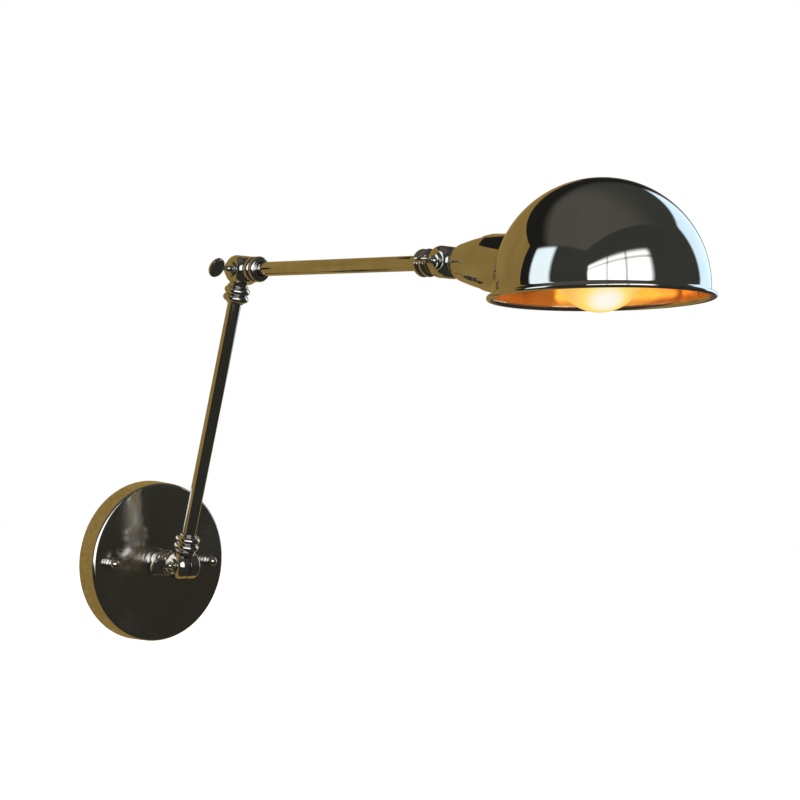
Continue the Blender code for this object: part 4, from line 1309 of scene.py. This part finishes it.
@dataclass(frozen=True)
class RoundBulb:
    """The lit bulb: frosted glass, screw cap, tip contact and filament."""

    radius: float = 27.5 * MM
    centre: float = 130.5 * MM
    neck_radius: float = 12.2 * MM
    neck_length: float = 20.0 * MM
    glass: float = 0.8 * MM
    cap_start: float = 50.5 * MM
    cap_length: float = 24.0 * MM
    cap_radius: float = 13.2 * MM
    cap_wall: float = 0.5 * MM
    tip_radius: float = 4.7 * MM
    tip_height: float = 1.6 * MM
    filament_reach: float = 122.0 * MM
    filament_half: float = 11.0 * MM
    leg_radius: float = 0.5 * MM
    thread_pitch: float = 3.6 * MM
    # Offset of the painted highlight on the glass: below and out from the bulb's centre on the camera's
    # side, not at the filament.
    painted_hot_offset: Tone = (-7.0 * MM, -17.0 * MM, 12.0 * MM)

    def outline(self, shrink: float) -> list[Point]:
        """Half outline of the glass from its crown to its neck, drawn in by a shrink."""
        radius = self.radius - shrink
        neck = self.neck_radius - shrink
        points = arc(0.0, self.centre, radius, 89, -44, 60)
        neck_start = self.cap_start + self.cap_length + TOUCH_GAP
        waist = (neck, neck_start + self.neck_length)
        shoulder = ((neck + points[-1][0]) / 2 - 0.6 * MM, (waist[1] + points[-1][1]) / 2)
        points += flowing([points[-1], shoulder, waist, (neck, neck_start + self.neck_length / 2)], 8)[1:]
        return [(0.0, self.centre + radius)] + points + [(neck, neck_start)]

    def build(self, head: HeadForm, finishes: Finishes, helix: bpy.types.NodeTree) -> None:
        """Make the bulb's pieces.

        Args:
            head: The head's layout.
            finishes: The sconce's finishes.
            helix: The tree that winds the filament and the cap's thread.
        """
        place = head.cup_place()
        profile = self.outline(0.0) + self.outline(self.glass)[::-1]
        glass = piece("bulb_envelope", placed(turned("bulb_envelope", profile, 128), place), finishes.glass)
        stand_for(glass, "bulb_glass", "head")
        cap_end = self.cap_start + self.cap_length
        bore = self.cap_radius - self.cap_wall
        taper = self.cap_length / 6
        corners = [
            Corner(bore, cap_end, 0.1 * MM),
            Corner(self.cap_radius, cap_end, 0.2 * MM),
            Corner(self.cap_radius, self.cap_start + taper, 0.8 * MM),
            Corner(self.tip_radius * 1.6, self.cap_start, 0.3 * MM),
            Corner(self.tip_radius + TOUCH_GAP, self.cap_start, 0.1 * MM),
            Corner(self.tip_radius + TOUCH_GAP, self.cap_start + 2 * self.cap_wall, 0.1 * MM),
            Corner(bore, self.cap_start + taper + self.cap_wall, 0.5 * MM),
        ]
        mesh = turned("screw_cap", rounded(corners, closed=True, steps=4), 96, True)
        cap = piece("screw_cap", placed(mesh, place), finishes.brass)
        stand_for(cap, "bulb_cap", "head")
        thread_start = self.cap_start + taper
        thread = Helix(
            "cap_thread", radius=self.cap_radius, length=self.cap_length * 0.62, wire_radius=0.3 * MM,
            pitch=self.thread_pitch,
        )
        wound = thread.build(helix, finishes.brass, place @ move(z=thread_start))
        belong(wound, "head")
        tip_start = self.cap_start - self.tip_height
        tip = rounded(
            [
                Corner(0.0, self.cap_start + self.tip_height),
                Corner(self.tip_radius, self.cap_start + self.tip_height, 0.3 * MM),
                Corner(self.tip_radius, self.cap_start, 0.3 * MM),
                Corner(self.tip_radius * 0.6, tip_start, 0.6 * MM),
                Corner(0.0, tip_start),
            ]
        )
        button = piece("tip_contact", placed(turned("tip_contact", tip, 48), place), finishes.brass)
        stand_for(button, "bulb_contact", "head")
        self.build_filament(place, cap_end - taper, finishes, helix)

    def build_filament(
        self, place: Matrix, leg_start: float, finishes: Finishes, helix: bpy.types.NodeTree
    ) -> None:
        """Wind the filament and stand it on two legs."""
        sideways = Matrix.Rotation(math.radians(90), 4, "Y")
        across = place @ move(x=-self.filament_half, z=self.filament_reach) @ sideways
        coil = Helix(
            "filament_coil", radius=0.9 * MM, length=2 * self.filament_half, wire_radius=0.25 * MM,
            pitch=0.9 * MM,
        )
        wound = coil.build(helix, finishes.wire, across)
        stand_for(wound, "bulb_filament", "head")
        for side, word in ((-1, "left"), (1, "right")):
            x = side * (self.filament_half - 0.6 * MM)
            leg = rod(f"filament_leg_{word}", self.leg_radius, leg_start, self.filament_reach, 24)
            stand = piece(f"filament_leg_{word}", placed(leg, place @ move(x=x)), finishes.zinc)
            belong(stand, "head")


# ---------------------------------------------------------------- the sconce
class Sconce:
    """The whole sconce: it places the classes above on the frame's joints."""

    def __init__(self) -> None:
        """Read the hinges and make the finishes."""
        self.base = joint_point("base_tilt")
        self.elbow = joint_point("elbow_tilt")
        self.shade = joint_point("shade_tilt")
        self.form = KnuckleForm()
        self.head = HeadForm()
        bulb = RoundBulb()
        # Centre of the painted highlight on the bulb's glass.
        aside, down, out = bulb.painted_hot_offset
        painted_spot = self.head.cup_place() @ Vector((aside, down, bulb.centre + out))
        self.finishes = make_finishes(painted_spot)
        self.helix = helix_tree()

    def dress(self, finish: bpy.types.Material, *nodes: str) -> None:
        """Give carried-over nodes a finish."""
        for name in nodes:
            materials = frame["nodes"][name].data.materials
            materials.clear()
            materials.append(finish)
            LOG.info("dressed %s in %s", name, finish.name)

    def build_wall_plate(self) -> None:
        """Make the canopy, its nuts, and what is under it."""
        LOG.info("canopy: %s", WallCanopy().build(self.finishes.plate, self.finishes.plate_cover).name)
        nut = CapNut()
        for side, word in ((-1, "left"), (1, "right")):
            LOG.info("cap nut: %s", nut.build(side, word, self.finishes.plate).name)
            thread = Helix(
                f"stud_thread_{word}", radius=1.95 * MM, length=13.0 * MM, wire_radius=0.22 * MM,
                pitch=0.7 * MM,
            )
            place = OUT_OF_WALL @ move(x=side * nut.stud_reach, z=2.6 * MM)
            wound = thread.build(self.helix, self.finishes.zinc, place)
            belong(wound, "wall_plate")
            LOG.info("thread: %s", wound.name)
        self.dress(self.finishes.zinc, "mounting_bar", "canopy_stud_left", "canopy_stud_right")
        self.dress(self.finishes.zinc, "stem_lock_washer")
        self.dress(self.finishes.brass, "earth_screw", "terminal_screw_left", "terminal_screw_right")
        self.dress(self.finishes.brass, "stem_nut", "cup_nut", "holder_contact")
        self.dress(self.finishes.phenolic, "terminal_block")

    def build_knuckles(self) -> None:
        """Make the six knuckle halves."""
        form = self.form
        base, elbow, shade = self.base, self.elbow, self.shade
        wall = Vector((0.0, 0.0, 0.0))
        cup_end = self.head.cup_place() @ Vector((0.0, 0.0, 1.0))
        halves = (
            ("base_fixed_half", "base_fixed_knuckle", "swivel", Ear.DOMED, form.base_stem(), base, wall),
            ("base_arm_half", "base_arm_knuckle", "lower_arm", Ear.PLAIN, form.collar(), base, elbow),
            ("elbow_lower_half", "elbow_lower_knuckle", "lower_arm", Ear.DOMED, form.collar(), elbow, base),
            ("elbow_upper_half", "elbow_upper_knuckle", "upper_arm", Ear.PLAIN, form.collar(), elbow, shade),
            ("shade_arm_half", "shade_arm_knuckle", "upper_arm", Ear.DOMED, form.collar(), shade, elbow),
            ("shade_cup_half", "shade_cup_knuckle", "head", Ear.PLAIN, form.cup_stem(), shade, cup_end),
        )
        for name, node, body, side, stem, hinge, towards in halves:
            half = KnuckleHalf(name, node, body, side, stem, aimed(hinge, towards), form)
            LOG.info("knuckle half: %s", half.build(self.finishes.plate).name)

    def build_fittings(self) -> None:
        """Make the thumb screws and washers of the three knuckles."""
        screw = ThumbScrew()
        thumb_washer = FlatWasher(outer=5.2 * MM, hole=2.4 * MM, start=9.5 * MM, thickness=0.7 * MM)
        friction_washer = FlatWasher(outer=9.4 * MM, hole=2.4 * MM, start=-0.2 * MM, thickness=0.4 * MM)
        finishes = self.finishes
        knuckles = (
            ("base", "swivel", self.base, 0.0, 62.0),
            ("elbow", "lower_arm", self.elbow, 90.0, -30.0),
            ("shade", "upper_arm", self.shade, 90.0 + self.head.droop_deg, -86.0),
        )
        for prefix, body, hinge, lean, turn in knuckles:
            place = Matrix.Translation(hinge) @ turn_x(lean) @ TO_THUMB
            blade = place @ Matrix.Rotation(math.radians(turn), 4, "Z")
            screw.build(
                f"{prefix}_wing_screw", f"{prefix}_thumb_screw", f"{prefix}_thumb", blade, finishes.plate
            )
            thumb_washer.build(
                f"{prefix}_bright_washer", f"{prefix}_thumb_washer", body, place, finishes.zinc
            )
            friction_washer.build(
                f"{prefix}_fibre_washer", f"{prefix}_friction_washer", body, place, finishes.fibre
            )
            LOG.info("fittings: %s", prefix)

    def build_arms(self) -> None:
        """Draw the two tubes."""
        tube = ArmTube()
        arms = (
            ("lower_tube", "lower_arm", self.base, self.elbow),
            ("upper_tube", "upper_arm", self.elbow, self.shade),
        )
        for name, body, start, end in arms:
            LOG.info("tube: %s", tube.build(name, body, start, end, self.finishes.plate_arm).name)

    def build_head(self) -> None:
        """Make the cup, the dome, the holder and the bulb."""
        LOG.info("cup: %s", SocketCup().build(self.head, self.finishes.plate).name)
        LOG.info("dome: %s", DomeShade().build(self.head, self.finishes.plate, self.finishes.inside).name)
        LampHolder().build(self.head, self.finishes.phenolic, self.finishes.brass)
        RoundBulb().build(self.head, self.finishes, self.helix)
        LOG.info("holder and bulb made")

    def build(self) -> None:
        """Make every piece."""
        self.build_wall_plate()
        self.build_knuckles()
        self.build_fittings()
        self.build_arms()
        self.build_head()


# ---------------------------------------------------------------- studio
@dataclass(frozen=True)
class Window:
    """A lit window on one wall of the surrounding room, in tangents of its wall's direction."""

    wall: str
    left: float
    right: float
    low: float
    high: float
    tone: Tone
    glow: float
    bars: tuple[float, ...] = ()
    soft: float = 0.05
    bar_core: float = 0.010
    bar_edge: float = 0.045
    bar_shade: float = 0.42
    rail_share: float = 0.80


@dataclass(frozen=True)
class Studio:
    """The room that the plating mirrors, the card behind the sconce, the floor and the camera."""

    backdrop: Tone = (1.0, 1.0, 1.0)
    backdrop_glow: float = 1.0
    low_tone: Tone = (0.034, 0.031, 0.023)
    mid_tone: Tone = (0.052, 0.054, 0.048)
    band_tone: Tone = (0.017, 0.017, 0.015)
    ceiling_tone: Tone = (0.108, 0.102, 0.088)
    floor_tone: Tone = (0.034, 0.034, 0.030)
    beside_tone: Tone = (0.12, 0.075, 0.045)
    card_tone: Tone = (0.37, 0.25, 0.078)
    card_second_tone: Tone = (0.30, 0.195, 0.055)
    card_half: float = 0.41
    card_top: float = 0.52
    card_bottom: float = -1.2
    card_back: float = 0.0006
    camera_spot: Tone = (-0.846, -1.2005, 0.12545)
    azimuth_deg: float = -42.46
    elevation_deg: float = -0.13
    roll_deg: float = 2.4
    lens_mm: float = 86.74
    floor_height: float = -2.5
    floor_half: float = 30.0
    ceiling_front: float = 1.66
    ceiling_side: float = 0.70
    ceiling_back: float = 1.15

    def windows(self) -> tuple[Window, ...]:
        """The room's three windows."""
        return (
            Window("-x", 0.26, 0.80, -0.12, 0.68, (0.80, 0.93, 1.0), 1.6),
            Window("-y", -1.95, 0.10, -0.12, 0.68, (1.0, 1.0, 1.0), 2.0, (-0.93, -0.41), 0.08),
            Window("+x", -0.24, 0.52, -0.12, 0.76, (0.66, 0.84, 1.0), 1.55),
        )

    def build_world(self) -> None:
        """Lay the room on the world's directions, with a plain backdrop for the camera."""
        world = bpy.data.worlds.new("room")
        bpy.context.scene.world = world
        world.use_nodes = True
        tree = world.node_tree
        tree.nodes.clear()
        graph = Graph(tree)
        way = graph.node("ShaderNodeSeparateXYZ")
        graph.feed(way.inputs[0], graph.node("ShaderNodeTexCoord").outputs["Generated"])
        x, y, z = way.outputs
        away = graph.math("MULTIPLY", y, -1.0)
        left = graph.math("MULTIPLY", x, -1.0)
        tone = self.room_tone(graph, x, y, z)
        for window in self.windows():
            depth, across = {"-x": (left, y), "+x": (x, y), "-y": (away, x)}[window.wall]
            tone = self.with_window(graph, tone, window, depth, across, z)
        room = graph.node("ShaderNodeBackground")
        graph.feed(room.inputs["Color"], tone)
        backdrop = graph.node("ShaderNodeBackground")
        backdrop.inputs["Color"].default_value = colour(self.backdrop)
        backdrop.inputs["Strength"].default_value = self.backdrop_glow
        rays = graph.node("ShaderNodeLightPath")
        mixed = graph.node("ShaderNodeMixShader")
        graph.feed(mixed.inputs[0], rays.outputs["Is Camera Ray"])
        graph.feed(mixed.inputs[1], room.outputs[0])
        graph.feed(mixed.inputs[2], backdrop.outputs[0])
        graph.feed(graph.node("ShaderNodeOutputWorld").inputs[0], mixed.outputs[0])

    def room_tone(self, graph: Graph, x: object, y: object, z: object) -> bpy.types.NodeSocket:
        """The room's walls, ceiling and floor, without its windows."""
        tone = graph.blend(graph.rise(z, -0.12, 0.25), colour(self.low_tone), colour(self.mid_tone))
        towards = graph.math("MAXIMUM", graph.math("MULTIPLY", y, -1.0), 0.0)
        front = graph.math("SUBTRACT", z, graph.math("MULTIPLY", towards, self.ceiling_front))
        aside = graph.math("ABSOLUTE", x)
        side = graph.math("SUBTRACT", z, graph.math("MULTIPLY", aside, self.ceiling_side))
        behind = graph.math("MAXIMUM", y, 0.0)
        back = graph.math("SUBTRACT", z, graph.math("MULTIPLY", behind, self.ceiling_back))
        overhead = graph.math("MULTIPLY", graph.rise(front, -0.03, 0.05), graph.rise(side, -0.03, 0.05))
        overhead = graph.math("MULTIPLY", overhead, graph.rise(back, -0.05, 0.25))
        tone = graph.blend(graph.rise(y, 0.10, 0.45), tone, colour(self.band_tone))
        ceiling = graph.blend(graph.rise(x, -0.05, 0.60), colour(self.ceiling_tone), colour(self.mid_tone))
        tone = graph.blend(overhead, tone, ceiling)
        tone = graph.blend(graph.rise(z, -0.45, -0.20, 1.0, 0.0), tone, colour(self.floor_tone))
        beside = graph.math("MULTIPLY", graph.rise(y, 0.30, 0.45), graph.rise(x, 0.30, 0.40))
        beside = graph.math("MULTIPLY", beside, graph.rise(z, 0.25, 0.45, 1.0, 0.0))
        return graph.blend(beside, tone, colour(self.beside_tone))

    def build_card(self) -> bpy.types.Object:
        """A warm card flat behind the sconce, seen only in its plating.

        Returns:
            The card.
        """
        middle = (self.card_top + self.card_bottom) / 2
        half_height = (self.card_top - self.card_bottom) / 2
        bm = bmesh.new()
        place = move(y=self.card_back, z=middle) @ turn_x(90.0)
        stretch = Matrix.Diagonal((self.card_half, half_height, 1.0, 1.0))
        bmesh.ops.create_grid(bm, x_segments=1, y_segments=1, size=1.0, matrix=place @ stretch)
        material = bpy.data.materials.new("warm_card")
        material.use_nodes = True
        graph = Graph(material.node_tree)
        material.node_tree.nodes.remove(material.node_tree.nodes["Principled BSDF"])
        glow = graph.node("ShaderNodeEmission")
        where = graph.node("ShaderNodeTexCoord").outputs["Object"]
        fine = graph.noise(where, 260.0, 3.0)
        broad = graph.rise(graph.noise(where, 5.0, 2.0), 0.2, 0.8, 0.7, 1.3)
        share = graph.rise(graph.math("MULTIPLY", fine, broad), 0.35, 0.65)
        tone = graph.blend(share, colour(self.card_tone), colour(self.card_second_tone))
        graph.feed(glow.inputs["Color"], tone)
        graph.feed(material.node_tree.nodes["Material Output"].inputs["Surface"], glow.outputs[0])
        card = piece("warm_card", finished("warm_card", bm, False), material)
        hide_from(card, "camera", "diffuse", "shadow", "transmission", "volume_scatter")
        card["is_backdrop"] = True
        return card

    def with_window(
        self, graph: Graph, tone: object, window: Window, depth: object, across: object, up: object
    ) -> bpy.types.NodeSocket:
        """Lay one window over the room's tone.

        Args:
            graph: The world's nodes.
            tone: The room so far.
            window: The window.
            depth: How far the direction runs towards the window's wall.
            across: How far it runs along the wall.
            up: How far it runs up.

        Returns:
            The room with the window.
        """
        deep = graph.math("MAXIMUM", depth, 0.02)
        u = graph.math("DIVIDE", across, deep)
        v = graph.math("DIVIDE", up, deep)
        soft = window.soft
        mask = graph.rise(depth, 0.05, 0.12)
        for value, low, rising in ((u, window.left, True), (u, window.right, False),
                                   (v, window.low, True), (v, window.high, False)):
            edge = graph.rise(value, low - soft, low + soft, 0.0 if rising else 1.0, 1.0 if rising else 0.0)
            mask = graph.math("MULTIPLY", mask, edge)
        for bar in window.bars:
            mask = self.with_bar(graph, mask, window, u, bar)
        if window.bars:
            mask = self.with_bar(graph, mask, window, v, window.high * window.rail_share)
        lit = tuple(window.glow * part for part in window.tone)
        return graph.blend(mask, tone, colour(lit))

    def with_bar(
        self, graph: Graph, mask: object, window: Window, value: object, middle: float
    ) -> bpy.types.NodeSocket:
        """Darken a window along one of its glazing bars."""
        gap = graph.math("ABSOLUTE", graph.math("SUBTRACT", value, middle))
        light = graph.rise(gap, window.bar_core, window.bar_edge, window.bar_shade, 1.0)
        return graph.math("MULTIPLY", mask, light)

    def build_floor(self) -> bpy.types.Object:
        """A plain pale floor far below, seen by the camera only."""
        bm = bmesh.new()
        bmesh.ops.create_grid(bm, x_segments=1, y_segments=1, size=self.floor_half)
        mesh = placed(finished("floor", bm), move(z=self.floor_height))
        floor = piece("floor", mesh, self.floor_material())
        hide_from(floor, "glossy", "diffuse", "shadow", "transmission")
        floor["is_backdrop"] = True
        return floor

    def floor_material(self) -> bpy.types.Material:
        """The floor's even pale paint."""
        material = bpy.data.materials.new("pale_floor")
        material.use_nodes = True
        shader = material.node_tree.nodes["Principled BSDF"]
        shader.inputs["Base Color"].default_value = colour(self.backdrop)
        shader.inputs["Roughness"].default_value = 1.0
        shader.inputs["Emission Color"].default_value = colour(self.backdrop)
        shader.inputs["Emission Strength"].default_value = self.backdrop_glow
        return material

    def build_camera(self) -> bpy.types.Object:
        """Stand the camera and turn it.

        Returns:
            The camera.
        """
        azimuth = math.radians(self.azimuth_deg)
        elevation = math.radians(self.elevation_deg)
        roll = math.radians(self.roll_deg)
        level = math.cos(elevation)
        look = Vector((-math.sin(azimuth) * level, math.cos(azimuth) * level, -math.sin(elevation)))
        right = Vector((math.cos(azimuth), math.sin(azimuth), 0.0))
        up = right.cross(look)
        rolled_right = math.cos(roll) * right + math.sin(roll) * up
        rolled_up = math.cos(roll) * up - math.sin(roll) * right
        data = bpy.data.cameras.new("camera")
        data.lens = self.lens_mm
        data.sensor_width = 36.0
        camera = bpy.data.objects.new("camera", data)
        bpy.context.scene.collection.objects.link(camera)
        turn = Matrix((rolled_right, rolled_up, -look)).transposed().to_4x4()
        camera.matrix_world = Matrix.Translation(self.camera_spot) @ turn
        bpy.context.scene.camera = camera
        return camera

    def build(self) -> None:
        """Make the world, the card, the floor and the camera."""
        bpy.context.scene.view_settings.view_transform = "Standard"
        self.build_world()
        LOG.info("card: %s", self.build_card().name)
        LOG.info("floor: %s", self.build_floor().name)
        LOG.info("camera: %s", self.build_camera().name)


def corners() -> list[list[float]]:
    """The shown object's lowest and highest corners as plain lists."""
    return [list(corner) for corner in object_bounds()]


def main() -> None:
    """Build the sconce and its studio."""
    logging.basicConfig(level=logging.INFO, format="%(name)s %(message)s")
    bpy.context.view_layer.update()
    Studio().build()
    Sconce().build()


if __name__ == "__main__":
    main()
